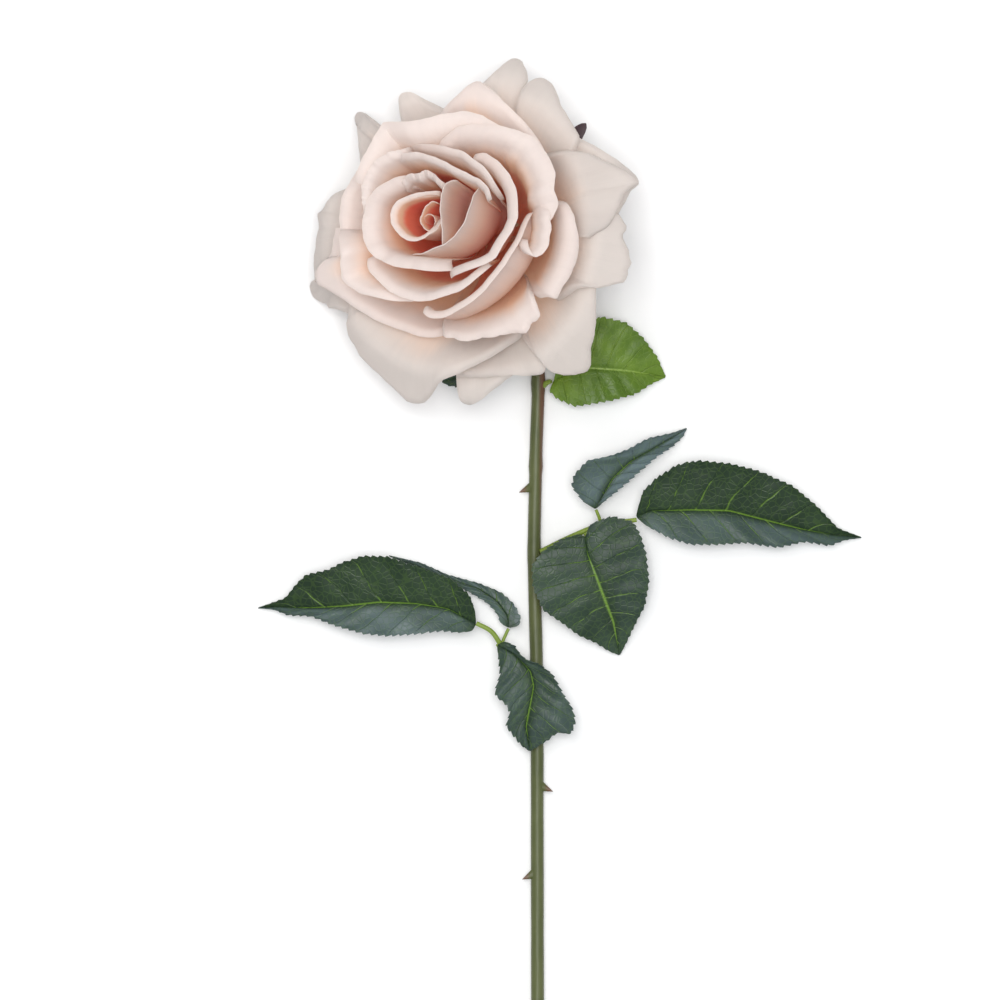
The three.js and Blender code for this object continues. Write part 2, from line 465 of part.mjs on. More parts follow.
// Each leaf blade seen from above, at even steps from base to tip: midrib, left and right margin.
const BLADES = {
  upper_right: [
    [
      [18.7, 41], [21.3, 42.3], [24.4, 43.5], [27.6, 44.3], [30.8, 45.1], [34, 45], [37.3, 44.7],
      [40.6, 44.5], [43.9, 44.2], [47.2, 43.7], [50.4, 43.3], [53.7, 42.7], [56.5, 42.2],
    ],
    [
      [18.5, 41.2], [19.6, 45.8], [21.3, 50.6], [24.1, 54.9], [27.3, 58.9], [31.7, 61.5], [36.3, 62.8],
      [41.4, 61.6], [45.6, 59], [49.4, 55.5], [52.5, 51.4], [55, 46.9], [56.8, 42.5],
    ],
    [
      [18.2, 40.4], [16.9, 37.2], [19.5, 34.4], [23.1, 32.7], [26.9, 31.8], [30.9, 32.5], [34.9, 33.1],
      [38.8, 33.9], [42.7, 34.9], [46.6, 36], [50, 38.2], [53.4, 40.2], [56.6, 42],
    ],
  ],
  upper_left: [
    [
      [5, 46.8], [3.3, 46.4], [1.2, 45.9], [-1, 45.4], [-3.1, 44.9], [-5.2, 44.4], [-7.3, 43.8],
      [-9.4, 43.2], [-11.6, 42.6], [-13.7, 42.1], [-15.8, 41.5], [-17.9, 41], [-19.6, 40.6],
    ],
    [
      [5.1, 46.6], [3.7, 45.4], [1.9, 43.9], [-0.1, 42.5], [-2.2, 41.6], [-4.4, 40.8], [-6.6, 39.9],
      [-8.9, 39.4], [-11.2, 38.9], [-13.5, 38.5], [-15.8, 38.6], [-18.1, 39.2], [-19.7, 40.2],
    ],
    [
      [5.1, 47.1], [3.2, 48.2], [1, 49.4], [-1.3, 50.3], [-3.8, 50.1], [-6.3, 49.9], [-8.9, 49.7],
      [-11.2, 49], [-13.4, 47.7], [-15.6, 46.4], [-17.4, 44.8], [-18.8, 42.6], [-19.8, 40.8],
    ],
  ],
  right_1: [
    [
      [46.9, -5.6], [52.7, -3.7], [59.4, -3.6], [66, -3.4], [72.6, -3.6], [79.2, -3.9], [85.5, -5.6],
      [91.9, -7.3], [98.4, -8.8], [104.8, -10.3], [111.3, -11.4], [117.9, -12.4], [124, -12.9],
    ],
    [
      [46.7, -5.4], [48.5, 2], [53.5, 8], [60.3, 12.3], [68.1, 13.9], [76.1, 13.1], [84, 11.6],
      [91.6, 9], [99, 5.9], [105.4, 1], [111.2, -4.5], [117, -9.9], [124.1, -12.8],
    ],
    [
      [46.9, -6], [51.9, -10], [57.8, -13.3], [64.3, -15.3], [71, -15.6], [77.8, -15.4], [84.6, -15.2],
      [91.3, -16.1], [98, -16.1], [104.6, -14.7], [111.3, -15.7], [117.8, -14.2], [124.1, -13],
    ],
  ],
  right_2: [
    [
      [32.8, -2.7], [34.4, 0.1], [36.2, 3.2], [38.1, 6.3], [40.4, 9], [43, 11.5], [45.7, 13.7],
      [48.9, 15.5], [52, 17.3], [55.1, 19.1], [58.1, 21], [61.2, 22.9], [63.9, 24.6],
    ],
    [
      [32.3, -2.9], [28.4, -0.6], [25.2, 3.2], [24.8, 7.7], [27.6, 11.6], [31.6, 14], [36.5, 15],
      [41.2, 16.5], [45.6, 18.7], [50, 21], [54.7, 22.2], [59.6, 23.3], [63.9, 24.7],
    ],
    [
      [33, -2.8], [35.4, -0.8], [38.3, 1.2], [41.1, 3.4], [43.8, 5.7], [46.4, 8.1], [49.1, 10.4],
      [51.8, 12.7], [54.6, 15], [57.5, 16.9], [60.4, 19.1], [62.9, 21.6], [64.1, 24.4],
    ],
  ],
  right_3: [
    [
      [29.3, -13], [29.7, -16.1], [30.4, -19.6], [31.6, -22.9], [32.9, -26.2], [34.2, -29.6],
      [35.4, -32.9], [36.7, -36.2], [38, -39.5], [39.1, -42.9], [39.8, -46.4], [40.5, -49.9],
      [41.1, -53],
    ],
    [
      [29.4, -12.2], [31.9, -7.7], [37.3, -5.5], [42.9, -6.4], [47.1, -9.7], [49.3, -15.1],
      [50.6, -20.7], [51.2, -26.5], [50.6, -32.3], [49, -37.8], [46.4, -43], [43.9, -48.2],
      [41.3, -53],
    ],
    [
      [28.9, -12.4], [23.7, -12.4], [18.4, -14.6], [13.7, -18.1], [10.6, -22.9], [10.8, -28.7],
      [12.7, -34.2], [15.9, -38.8], [20.8, -42.1], [25.4, -45.7], [30.7, -48.2], [35.8, -51.1],
      [40.8, -53.2],
    ],
  ],
  left_1: [
    [
      [-8.5, -42.3], [-13.8, -39.4], [-19.5, -36.8], [-25.9, -35.9], [-32.2, -35.3], [-38.6, -35.1],
      [-45, -35.4], [-51.4, -36.1], [-57.7, -36.6], [-64.1, -37], [-70.5, -36.9], [-76.9, -36.8],
      [-82.9, -37],
    ],
    [
      [-8.4, -42.8], [-13.3, -45.4], [-19.7, -45.3], [-26.2, -45.9], [-32.7, -46.5], [-39.2, -46.8],
      [-45.7, -46.3], [-52, -44.6], [-58.2, -42.8], [-64.3, -40.4], [-70.7, -39.9], [-76.9, -38],
      [-82.9, -37.1],
    ],
    [
      [-8.2, -42.1], [-9.4, -34.9], [-13.8, -28.8], [-20.4, -25.1], [-27.7, -22.5], [-35, -20.1],
      [-42.6, -18.9], [-50.1, -19.8], [-57.3, -22.7], [-64.7, -24.7], [-70.5, -29.4], [-76.1, -34.3],
      [-82.9, -36.9],
    ],
  ],
  left_2: [
    [
      [3, -43.5], [2.4, -39.7], [0, -36.2], [-3, -33.3], [-6.6, -30.9], [-10.5, -29.3], [-14.5, -28],
      [-18.5, -26.6], [-22.5, -25], [-26.4, -23.4], [-30.4, -21.9], [-34.4, -20.5], [-38, -19.2],
    ],
    [
      [2.7, -43.7], [-0.2, -41.6], [-2.1, -38], [-5.1, -35.2], [-8.6, -33], [-12.2, -31],
      [-15.9, -29.3], [-19.7, -27.5], [-23.4, -25.8], [-27.1, -24.1], [-30.9, -22.4], [-34.7, -20.7],
      [-38, -19.2],
    ],
    [
      [3.5, -43.8], [7, -41.8], [6, -37.3], [3, -33.6], [-1.1, -30.9], [-5.6, -28.9], [-10.3, -27.5],
      [-15.1, -26.3], [-19.7, -24.7], [-24.2, -22.7], [-28.8, -21], [-33.6, -20], [-38, -19.1],
    ],
  ],
  left_3: [
    [
      [-0.6, -49.8], [2.2, -51.2], [5.3, -53], [7.8, -55.5], [10.2, -58.2], [11.2, -61.5], [11.2, -65],
      [10.5, -68.5], [9.8, -72.1], [9.2, -75.6], [9.1, -79.1], [9.6, -82.7], [10.1, -85.8],
    ],
    [
      [-0.7, -49.4], [3.8, -49.1], [7.3, -52.7], [11.7, -55.4], [16.2, -57.9], [19.6, -61.8],
      [22.1, -66.5], [24.9, -70.9], [26, -76], [23.9, -80.1], [19, -80.4], [14.8, -83.5], [10.5, -86],
    ],
    [
      [-1, -50.1], [-0.8, -53.2], [-0.6, -56.7], [-0.5, -60.2], [-1.6, -63.6], [-1.7, -67],
      [0.9, -69.4], [2.7, -72.3], [2.2, -75.7], [2.7, -78.8], [4.9, -81.6], [7.2, -84.2], [9.8, -86],
    ],
  ],
};

// A leaf blade: start and end are the heights of its base and tip, arch lifts its middle, and left
// and right lift its margins.
function blade(name, outline, { start, end, arch, left, right }, material) {
  const pick = (line, v) => {
    const at = v * (line.length - 1);
    const i = Math.min(Math.floor(at), line.length - 2);
    return [0, 1].map((k) => line[i][k] + (at - i) * (line[i + 1][k] - line[i][k]));
  };
  const surface = (u, v) => {
    const [x, y] = pick(BLADES[outline][0], v);
    const [mx, my] = pick(BLADES[outline][u > 0 ? 1 : 2], v);
    const share = Math.abs(u) * LEAF_SCALE;
    const swell = Math.sin(Math.PI * v);
    const fold = (u > 0 ? left : right) * Math.abs(u) * Math.sqrt(Math.max(swell, 0));
    const away = Math.hypot(mx - x, my - y);
    const spare = away < 0.35 ? 0.35 - away : 0; // the base and tip stay 0.7 wide
    const side = u > 0 ? 1 : -1;
    const [ax, ay] = pick(BLADES[outline][0], Math.max(v - 0.02, 0));
    const [bx, by] = pick(BLADES[outline][0], Math.min(v + 0.02, 1));
    const n = Math.hypot(bx - ax, by - ay);
    const sx = x + (mx - x) * share - (side * spare * Math.abs(u) * (by - ay)) / n;
    const sy = y + (my - y) * share + (side * spare * Math.abs(u) * (bx - ax)) / n;
    return V(sx, sy, Math.max(start + (end - start) * v + arch * swell + fold, 0.3));
  };
  piece(root, name, sheet(6, 12, LEAF_THICKNESS, surface), material);
}

const R = RACHIS_RADIUS;
const beside = STEM_RADIUS * 1.17 + GAP + 0.2; // where a stalk starts beside a joint of the stem

// two simple leaves under the bloom
rachis("leaf_upper_right_stalk", [
  [
    R, V(STEM_X + beside + 0.2, 39.4, 3.6), V(STEM_X + beside + 0.9, 39.9, 4.1),
    V(STEM_X + beside + 1.75, 40.4, 4.75),
  ],
], "young");
blade("leaf_upper_right_blade", "upper_right", {
  start: 5.2, end: 0.4, arch: 4, left: 2.5, right: 1.5,
}, "young");
rachis("leaf_upper_left_stalk", [
  [
    R, V(STEM_X - beside + 1, 45.4, 3.4), V(STEM_X - beside - 1.4, 46, 3.8),
    V(STEM_X - beside - 3.7, 46.85, 4),
  ],
], "leaf");
blade("leaf_upper_left_blade", "upper_left", { start: 4, end: 0.4, arch: 2, left: 1.5, right: 1.5 }, "leaf");

// right compound leaf: a long end leaflet and two side leaflets
rachis("leaf_right_rachis", [
  [R, V(STEM_X - 1 + beside, -17.4, 3.6), V(24, -12.8, 6.2), V(34.5, -8.6, 8.4), V(46.3, -6.2, 8.8)],
  [0.7 * R, V(34.5, -8.6, 8.4), V(34, -6.2, 9.2), V(32.7, -3.5, 9.8)],
  [0.7 * R, V(34.5, -8.6, 8.4), V(31.6, -10.4, 10.4), V(29.45, -12.05, 12.1)],
], "leaf");
blade("leaf_right_leaflet_1", "right_1", { start: 8.8, end: 0.4, arch: 3, left: 6, right: 4 }, "leaf");
blade("leaf_right_leaflet_2", "right_2", { start: 10, end: 0.6, arch: 4, left: 5, right: -2 }, "leaf");
blade("leaf_right_leaflet_3", "right_3", { start: 12.9, end: 0.4, arch: 4, left: 3, right: 2.5 }, "leaf");

// left compound leaf
rachis("leaf_left_rachis", [
  [
    R, V(STEM_X - beside - 0.05, -63, 3.6), V(5, -57, 5.4), V(0.5, -50, 7.8), V(-3, -45, 8.8),
    V(-7.6, -42.4, 9.1),
  ],
  [0.7 * R, V(0.5, -50, 7.8), V(1.3, -47.6, 7.2), V(2.2, -44.05, 6.6)],
  [0.7 * R, V(0.5, -50, 7.8), V(0.1, -49.9, 9.0), V(-0.65, -49.6, 10.5)],
], "leaf");
blade("leaf_left_leaflet_1", "left_1", { start: 9.1, end: 0.4, arch: 5, left: 3, right: 5 }, "leaf");
blade("leaf_left_leaflet_2", "left_2", { start: 6.6, end: 0.5, arch: 0.5, left: -1, right: 1 }, "leaf");
blade("leaf_left_leaflet_3", "left_3", { start: 11.4, end: 6.2, arch: 2, left: 3, right: 2 }, "leaf");

// ---------------------------------------------------------------- origin under the middle
root.updateMatrixWorld(true);
const box = new THREE.Box3().setFromObject(root, true);
root.position.set(-(box.min.x + box.max.x) / 2, -(box.min.y + box.max.y) / 2, -box.min.z);

export default root;
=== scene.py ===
"""A cut garden rose lying on a pale surface, seen from straight above.

Sizes are in millimetres in the rose's own drawing frame and become metres when a piece is made.
"""

import logging
import math
from collections.abc import Iterator
from contextlib import contextmanager
from dataclasses import dataclass, field
from enum import Enum

import bpy
import numpy as np
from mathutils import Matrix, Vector

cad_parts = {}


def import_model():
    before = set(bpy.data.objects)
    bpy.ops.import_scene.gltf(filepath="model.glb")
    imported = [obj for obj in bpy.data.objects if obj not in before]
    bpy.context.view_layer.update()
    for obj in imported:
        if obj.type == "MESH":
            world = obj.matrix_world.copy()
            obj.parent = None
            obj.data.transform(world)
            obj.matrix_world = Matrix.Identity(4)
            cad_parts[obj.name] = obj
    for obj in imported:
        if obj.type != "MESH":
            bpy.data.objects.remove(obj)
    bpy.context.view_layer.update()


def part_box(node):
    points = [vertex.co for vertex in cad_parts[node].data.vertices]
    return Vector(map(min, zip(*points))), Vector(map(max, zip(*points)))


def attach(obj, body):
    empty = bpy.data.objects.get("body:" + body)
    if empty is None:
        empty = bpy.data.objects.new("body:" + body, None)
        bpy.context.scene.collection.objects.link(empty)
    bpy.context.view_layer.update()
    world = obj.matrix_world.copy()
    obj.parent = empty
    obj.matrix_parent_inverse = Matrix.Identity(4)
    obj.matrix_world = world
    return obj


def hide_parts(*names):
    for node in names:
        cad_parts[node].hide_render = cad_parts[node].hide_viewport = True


Array = np.ndarray
Object = bpy.types.Object
Material = bpy.types.Material
Tree = bpy.types.NodeTree
Node = bpy.types.Node
Socket = bpy.types.NodeSocket
Colour = tuple[float, float, float]
Line = tuple[int, ...]

LOG = logging.getLogger("rose")
MM = 0.001
RECEPTACLE_CENTRE = (-4.156, 90.410, 19.885)
BLOOM_SEAT = (-4.1, 90.4, 19.7)
BLOOM_TILT = math.radians(22.0)
BLOOM_NOD = math.radians(4.0)
HIP_LENGTH = 10.5
HIP_RADIUS = 7.6
STEM_RADIUS = 2.2
STEM_X = 12.6
STEM_END_Y = -250.0
STEM_CUT = math.radians(-42.0)
FLAT_FLOOR = 0.9
FLOOR_EASE = 2.2
PETAL_WALL = 0.5
SEPAL_WALL = 0.6
LEAF_WALL = 0.42
TOOTH_PITCH = 2.5
CREASE = math.radians(62.0)
LOWEST_LEAF = 0.55
SENSOR = 36.0


class Ring(Enum):
    """Which ring of the bloom a petal belongs to."""

    HEART = "heart"
    BUD = "bud"
    INNER = "inner"
    MIDDLE = "middle"
    OUTER = "outer"
    GUARD = "guard"


# --------------------------------------------------------------------- small helpers
def smooth(x: Array, lo: float = 0.0, hi: float = 1.0) -> Array:
    """Smooth step from 0 at lo to 1 at hi."""
    t = np.clip((np.asarray(x, float) - lo) / (hi - lo), 0.0, 1.0)
    return t * t * (3.0 - 2.0 * t)


def wobble(x: Array, seed: float, pitch: float = 1.0) -> Array:
    """A repeatable uneven wave between about -1 and 1.

    Args:
        x: where to read it.
        seed: which wave of the family.
        pitch: how many main waves fit in a unit of x.

    Returns:
        The wave's values.
    """
    x = np.asarray(x, float) * pitch * 2.0 * math.pi
    return (
        0.50 * np.sin(x + 1.7 * seed)
        + 0.30 * np.sin(1.73 * x + 2.9 * seed + 0.6)
        + 0.20 * np.sin(2.91 * x + 4.3 * seed + 1.9)
    )


def run_length(line: Array) -> Array:
    """How far along a line each of its points lies."""
    return np.concatenate([[0.0], np.cumsum(np.linalg.norm(np.diff(line, axis=0), axis=1))])


def read_rows(at: Array, known: Array, rows: Array) -> Array:
    """Read a table of places between its rows."""
    return np.stack([np.interp(at, known, column) for column in rows.T], -1)


def around(radius: Array, turn: Array, height: Array) -> Array:
    """Places at a radius, an azimuth in radians and a height."""
    return np.stack([radius * np.cos(turn), radius * np.sin(turn), height], -1)


def deselect() -> None:
    """Deselect every object."""
    bpy.ops.object.select_all(action="DESELECT")


def activate(obj: Object) -> None:
    """Make one object the only selected and the active one."""
    deselect()
    obj.select_set(True)
    bpy.context.view_layer.objects.active = obj


@contextmanager
def editing(obj: Object) -> Iterator[None]:
    """Edit one object with all of it selected."""
    activate(obj)
    bpy.ops.object.mode_set(mode="EDIT")
    bpy.ops.mesh.select_all(action="SELECT")
    yield
    bpy.ops.object.mode_set(mode="OBJECT")


def apply_all(obj: Object) -> None:
    """Apply every modifier of an object in order."""
    activate(obj)
    for modifier in list(obj.modifiers):
        bpy.ops.object.modifier_apply(modifier=modifier.name)


def get_points(obj: Object) -> Array:
    """The vertex places of a mesh object as an (n, 3) array."""
    co = np.empty(len(obj.data.vertices) * 3)
    obj.data.vertices.foreach_get("co", co)
    return co.reshape(-1, 3)


def set_points(obj: Object, points: Array) -> None:
    """Write vertex places back to a mesh object."""
    obj.data.vertices.foreach_set("co", np.ascontiguousarray(points, float).ravel())
    obj.data.update()


def add_attribute(obj: Object, name: str, values: Array) -> None:
    """Store one number per vertex for the materials to read."""
    layer = obj.data.attributes.new(name, "FLOAT", "POINT")
    layer.data.foreach_set("value", np.ascontiguousarray(values, np.float32))


def new_grid(name: str, across: int, along: int) -> tuple[Object, Array, Array]:
    """Add a grid to be shaped into a thin blade.

    Args:
        name: the piece's name.
        across: faces from one edge to the other.
        along: faces from base to tip.

    Returns:
        The object, and for each vertex its place across (-1..1) and along (0..1).
    """
    deselect()
    bpy.ops.mesh.primitive_grid_add(x_subdivisions=across, y_subdivisions=along, size=2.0)
    obj = bpy.context.object
    obj.name = obj.data.name = name
    co = get_points(obj)
    return obj, co[:, 0].copy(), (co[:, 1] + 1.0) / 2.0


def thicken(obj: Object, thickness: float, weights: Array | None = None) -> None:
    """Give a blade its thickness about its middle surface.

    Args:
        obj: the blade.
        thickness: in millimetres where the weight is 1.
        weights: share of the thickness at each vertex.
    """
    solid = obj.modifiers.new("wall", "SOLIDIFY")
    solid.thickness = thickness * MM
    solid.offset = 0.0
    if weights is not None:
        group = obj.vertex_groups.new(name="wall")
        for step in range(21):
            share = step / 20.0
            chosen = np.nonzero(np.abs(weights - share) <= 0.025)[0]
            if len(chosen):
                group.add([int(i) for i in chosen], max(share, 0.02), "REPLACE")
        solid.vertex_group = group.name
        solid.thickness_vertex_group = 0.0
    apply_all(obj)


def finish_piece(obj: Object, material: Material, slot: str, *nodes: str) -> None:
    """Dress a piece, put it on the rose's body and let it stand for its CAD nodes.

    Args:
        obj: the finished piece.
        material: its material.
        slot: the record's material slot; not used.
        nodes: the CAD nodes that it replaces.
    """
    activate(obj)
    bpy.ops.object.shade_smooth_by_angle(angle=CREASE)
    obj.data.materials.clear()
    obj.data.materials.append(material)
    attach(obj, "root")
    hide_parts(*nodes)
    deselect()
    LOG.info("%s: %d faces", obj.name, len(obj.data.polygons))


@dataclass
class Datum:
    """Turns drawing places into the frame's metres."""

    shift: Array = field(default_factory=lambda: np.zeros(3))

    @classmethod
    def from_frame(cls) -> "Datum":
        """Find the drawing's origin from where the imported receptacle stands."""
        low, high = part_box("receptacle")
        centre = (np.array(low) + np.array(high)) / 2.0
        return cls(centre - np.array(RECEPTACLE_CENTRE) * MM)

    def place(self, points: Array) -> Array:
        """Drawing millimetres to frame metres."""
        return np.asarray(points, float) * MM + self.shift


# --------------------------------------------------------------------- shader building
class Nodes:
    """A thin wrapper that adds and links shader nodes."""

    def __init__(self, tree: Tree) -> None:
        """Start on an empty tree."""
        self.tree = tree
        tree.nodes.clear()

    def add(self, kind: str, **settings: object) -> Node:
        """Add a node of a kind and set its properties."""
        node = self.tree.nodes.new(kind)
        for key, value in settings.items():
            setattr(node, key, value)
        return node

    def link(self, value: object, target: Socket) -> None:
        """Link an output to an input, or set the input to a number or an (r, g, b)."""
        if isinstance(value, Socket):
            self.tree.links.new(value, target)
        else:
            target.default_value = (*value, 1.0) if isinstance(value, tuple) else value

    def feed(self, node: Node, **values: object) -> Node:
        """Link or set a node's inputs by name, with an underscore for each space."""
        for key, value in values.items():
            self.link(value, node.inputs[key.replace("_", " ")])
        return node

    def math(self, operation: str, a: object, b: object = 0.0, clamp: bool = False) -> Socket:
        """A math node on sockets or plain numbers."""
        node = self.add("ShaderNodeMath", operation=operation, use_clamp=clamp)
        for socket, value in zip(node.inputs, (a, b)):
            self.link(value, socket)
        return node.outputs[0]

    def times(self, a: object, b: object) -> Socket:
        """The product of two sockets or numbers."""
        return self.math("MULTIPLY", a, b)

    def plus(self, a: object, b: object) -> Socket:
        """The sum of two sockets or numbers."""
        return self.math("ADD", a, b)

    def minus(self, a: object, b: object) -> Socket:
        """The difference of two sockets or numbers."""
        return self.math("SUBTRACT", a, b)

    def span(self, value: Socket, lo: float, hi: float, out_lo: float = 0.0,
             out_hi: float = 1.0) -> Socket:
        """Map a value smoothly from one range to another."""
        node = self.add("ShaderNodeMapRange", interpolation_type="SMOOTHSTEP")
        self.feed(node, From_Min=lo, From_Max=hi, To_Min=out_lo, To_Max=out_hi, Value=value)
        return node.outputs["Result"]

    def mix(self, factor: object, a: object, b: object, blend: str = "MIX") -> Socket:
        """Mix two colours, each a socket or an (r, g, b)."""
        node = self.add("ShaderNodeMix", data_type="RGBA", blend_type=blend)
        for index, value in ((0, factor), (6, a), (7, b)):
            self.link(value, node.inputs[index])
        return node.outputs[2]

    def combine(self, value: Socket) -> Socket:
        """A grey colour from a value."""
        node = self.add("ShaderNodeCombineColor")
        for socket in node.inputs[:3]:
            self.link(value, socket)
        return node.outputs[0]

    def attribute(self, name: str) -> Socket:
        """Read a per-vertex number."""
        return self.add("ShaderNodeAttribute", attribute_name=name).outputs["Fac"]

    def noise(self, scale: float, detail: float, vector: Socket | None = None,
              roughness: float = 0.5) -> Socket:
        """A noise texture's value, on Object coordinates unless a vector is given."""
        node = self.add("ShaderNodeTexNoise")
        vector = vector or self.add("ShaderNodeTexCoord").outputs["Object"]
        return self.feed(node, Scale=scale, Detail=detail, Roughness=roughness, Vector=vector).outputs["Fac"]

    def stretched(self, across: float, along: float) -> Socket:
        """The blade's own UV place, scaled across and along."""
        mapping = self.add("ShaderNodeMapping")
        mapping.inputs["Scale"].default_value = (across, along, 1.0)
        self.link(self.add("ShaderNodeTexCoord").outputs["UV"], mapping.inputs["Vector"])
        return mapping.outputs["Vector"]

    def place(self, group: Tree, **values: object) -> Node:
        """Place a node group with its own values."""
        return self.feed(self.add("ShaderNodeGroup", node_tree=group), **values)


def open_group(name: str, inputs: dict[str, float], outputs: tuple[str, ...]) -> tuple[
        Tree, Nodes, Node, Node]:
    """Start a shader node group with float sockets.

    Args:
        name: the group's name.
        inputs: input names with their defaults.
        outputs: output names.

    Returns:
        The group, its node wrapper, its input node and its output node.
    """
    group = bpy.data.node_groups.new(name, "ShaderNodeTree")
    for key, value in inputs.items():
        socket = group.interface.new_socket(key, in_out="INPUT", socket_type="NodeSocketFloat")
        socket.default_value = value
    for key in outputs:
        group.interface.new_socket(key, in_out="OUTPUT", socket_type="NodeSocketFloat")
    nodes = Nodes(group)
    return group, nodes, nodes.add("NodeGroupInput"), nodes.add("NodeGroupOutput")


def fibre_group() -> Tree:
    """Fine lines that run from a blade's base to its rim, with soft blotches."""
    group, nodes, given, out = open_group("Fibre lines", {"Depth": 1.0}, ("Height", "Tint"))
    fine = nodes.noise(1.0, 3.0, nodes.stretched(150.0, 5.0), 0.6)
    broad = nodes.noise(1.0, 2.0, nodes.stretched(36.0, 2.2), 0.5)
    pores = nodes.noise(1400.0, 2.0)
    soft = nodes.noise(90.0, 2.0)
    both = nodes.plus(nodes.times(fine, 0.5), nodes.times(broad, 0.8))
    height = nodes.plus(both, nodes.times(pores, 0.12))
    nodes.link(nodes.times(height, given.outputs["Depth"]), out.inputs["Height"])
    tint = nodes.plus(nodes.times(broad, 0.5), nodes.times(soft, 0.5))
    nodes.link(tint, out.inputs["Tint"])
    return group


def vein_group() -> Tree:
    """Feather veins on a leaf blade: a midrib, side veins that lean to the tip and a fine net."""
    group, nodes, given, out = open_group(
        "Feather veins", {"Side veins": 9.0, "Lean": 0.2, "Width": 0.1}, ("Midrib", "Veins", "Net")
    )
    coords = nodes.add("ShaderNodeTexCoord")
    split = nodes.add("ShaderNodeSeparateXYZ")
    nodes.link(coords.outputs["UV"], split.inputs[0])
    wander = nodes.times(nodes.minus(nodes.noise(90.0, 2.0), 0.5), 0.05)
    side = nodes.minus(nodes.times(split.outputs["X"], 2.0), 1.0)
    out_from_rib = nodes.math("ABSOLUTE", side)
    left = nodes.math("GREATER_THAN", side, 0.0)
    lean = nodes.times(nodes.math("POWER", out_from_rib, 0.85), given.outputs["Lean"])
    along = nodes.plus(nodes.minus(split.outputs["Y"], lean), wander)
    phase = nodes.plus(nodes.times(along, given.outputs["Side veins"]),
                       nodes.times(left, 0.45))
    off = nodes.math("ABSOLUTE", nodes.minus(nodes.math("FRACT", phase), 0.5))
    thin = nodes.times(given.outputs["Width"],
                      nodes.minus(1.15, nodes.times(out_from_rib, 0.8)))
    line = nodes.math("SUBTRACT", 1.0, nodes.math("DIVIDE", off, thin), clamp=True)
    nodes.link(nodes.times(line, nodes.span(out_from_rib, 0.8, 1.0, 1.0, 0.15)), out.inputs["Veins"])
    rib_wide = nodes.plus(0.022, nodes.times(split.outputs["Y"], 0.03))
    rib = nodes.math("SUBTRACT", 1.0, nodes.math("DIVIDE", out_from_rib, rib_wide), clamp=True)
    nodes.link(rib, out.inputs["Midrib"])
    cells = nodes.add("ShaderNodeTexVoronoi", feature="DISTANCE_TO_EDGE")
    cells.inputs["Scale"].default_value = 480.0
    nodes.link(coords.outputs["Object"], cells.inputs["Vector"])
    nodes.link(nodes.span(cells.outputs["Distance"], 0.0, 0.12, 1.0, 0.0), out.inputs["Net"])
    return group


def principled(nodes: Nodes, colour: Socket, roughness: Socket | float, height: Socket, relief: float,
               **extra: object) -> Node:
    """Close a material with a Principled shader and a bump.

    Args:
        nodes: the material's nodes.
        colour: base colour.
        roughness: a socket or a number.
        height: bump height.
        relief: bump distance in millimetres.
        extra: more of the shader's inputs by name.

    Returns:
        The shader node.
    """
    shader = nodes.add("ShaderNodeBsdfPrincipled")
    output = nodes.add("ShaderNodeOutputMaterial")
    bump = nodes.feed(nodes.add("ShaderNodeBump"), Strength=1.0, Distance=relief * MM, Height=height)
    nodes.link(shader.outputs[0], output.inputs["Surface"])
    return nodes.feed(shader, Base_Color=colour, Roughness=roughness, Normal=bump.outputs[0], **extra)


def new_material(name: str) -> tuple[Material, Nodes]:
    """A new material and its emptied node tree."""
    material = bpy.data.materials.new(name)
    material.use_nodes = True
    return material, Nodes(material.node_tree)


@dataclass(frozen=True)
class PetalFinish:
    """Velvety petal: pale at the rim, warmer towards the seat."""

    name: str
    rim: Colour = (0.88, 0.82, 0.795)
    blush: Colour = (0.98, 0.85, 0.77)
    peach: Colour = (1.0, 0.73, 0.54)
    coral: Colour = (1.0, 0.32, 0.22)
    glow: Colour = (0.97, 0.90, 0.86)
    deep_glow: Colour = (1.0, 0.76, 0.58)
    ember: Colour = (1.0, 0.36, 0.24)
    thinness: float = 0.5
    relief: float = 0.16

    def build(self, fibre: Tree) -> Material:
        """Make the material with the shared fibre lines."""
        material, nodes = new_material(self.name)
        lines = nodes.place(fibre, Depth=1.0)
        warmth = nodes.plus(nodes.attribute("warmth"),
                            nodes.times(nodes.minus(lines.outputs["Tint"], 0.5), 0.16))
        colour = nodes.mix(nodes.span(warmth, 0.02, 0.36), self.rim, self.blush)
        colour = nodes.mix(nodes.span(warmth, 0.30, 0.72), colour, self.peach)
        colour = nodes.mix(nodes.span(warmth, 0.72, 1.05), colour, self.coral)
        edge = nodes.attribute("rim")
        colour = nodes.mix(nodes.times(edge, 0.35), colour, (0.86, 0.80, 0.75))
        shade = nodes.span(lines.outputs["Height"], 0.35, 1.0, 0.965, 1.02)
        colour = nodes.mix(1.0, colour, nodes.combine(shade), "MULTIPLY")
        shader = principled(nodes, colour, 0.62, lines.outputs["Height"], self.relief,
                            Sheen_Weight=0.12, Sheen_Roughness=0.5, Specular_IOR_Level=0.25)
        glow = nodes.add("ShaderNodeBsdfTranslucent")
        through = nodes.mix(nodes.span(warmth, 0.0, 0.6), self.glow, self.deep_glow)
        through = nodes.mix(nodes.span(warmth, 0.75, 1.1), through, self.ember)
        nodes.link(through, glow.inputs["Color"])
        both = nodes.add("ShaderNodeMixShader")
        both.inputs["Fac"].default_value = self.thinness
        nodes.link(shader.outputs["BSDF"], both.inputs[1])
        nodes.link(glow.outputs["BSDF"], both.inputs[2])
        nodes.link(both.outputs["Shader"], material.node_tree.nodes["Material Output"].inputs["Surface"])
        return material


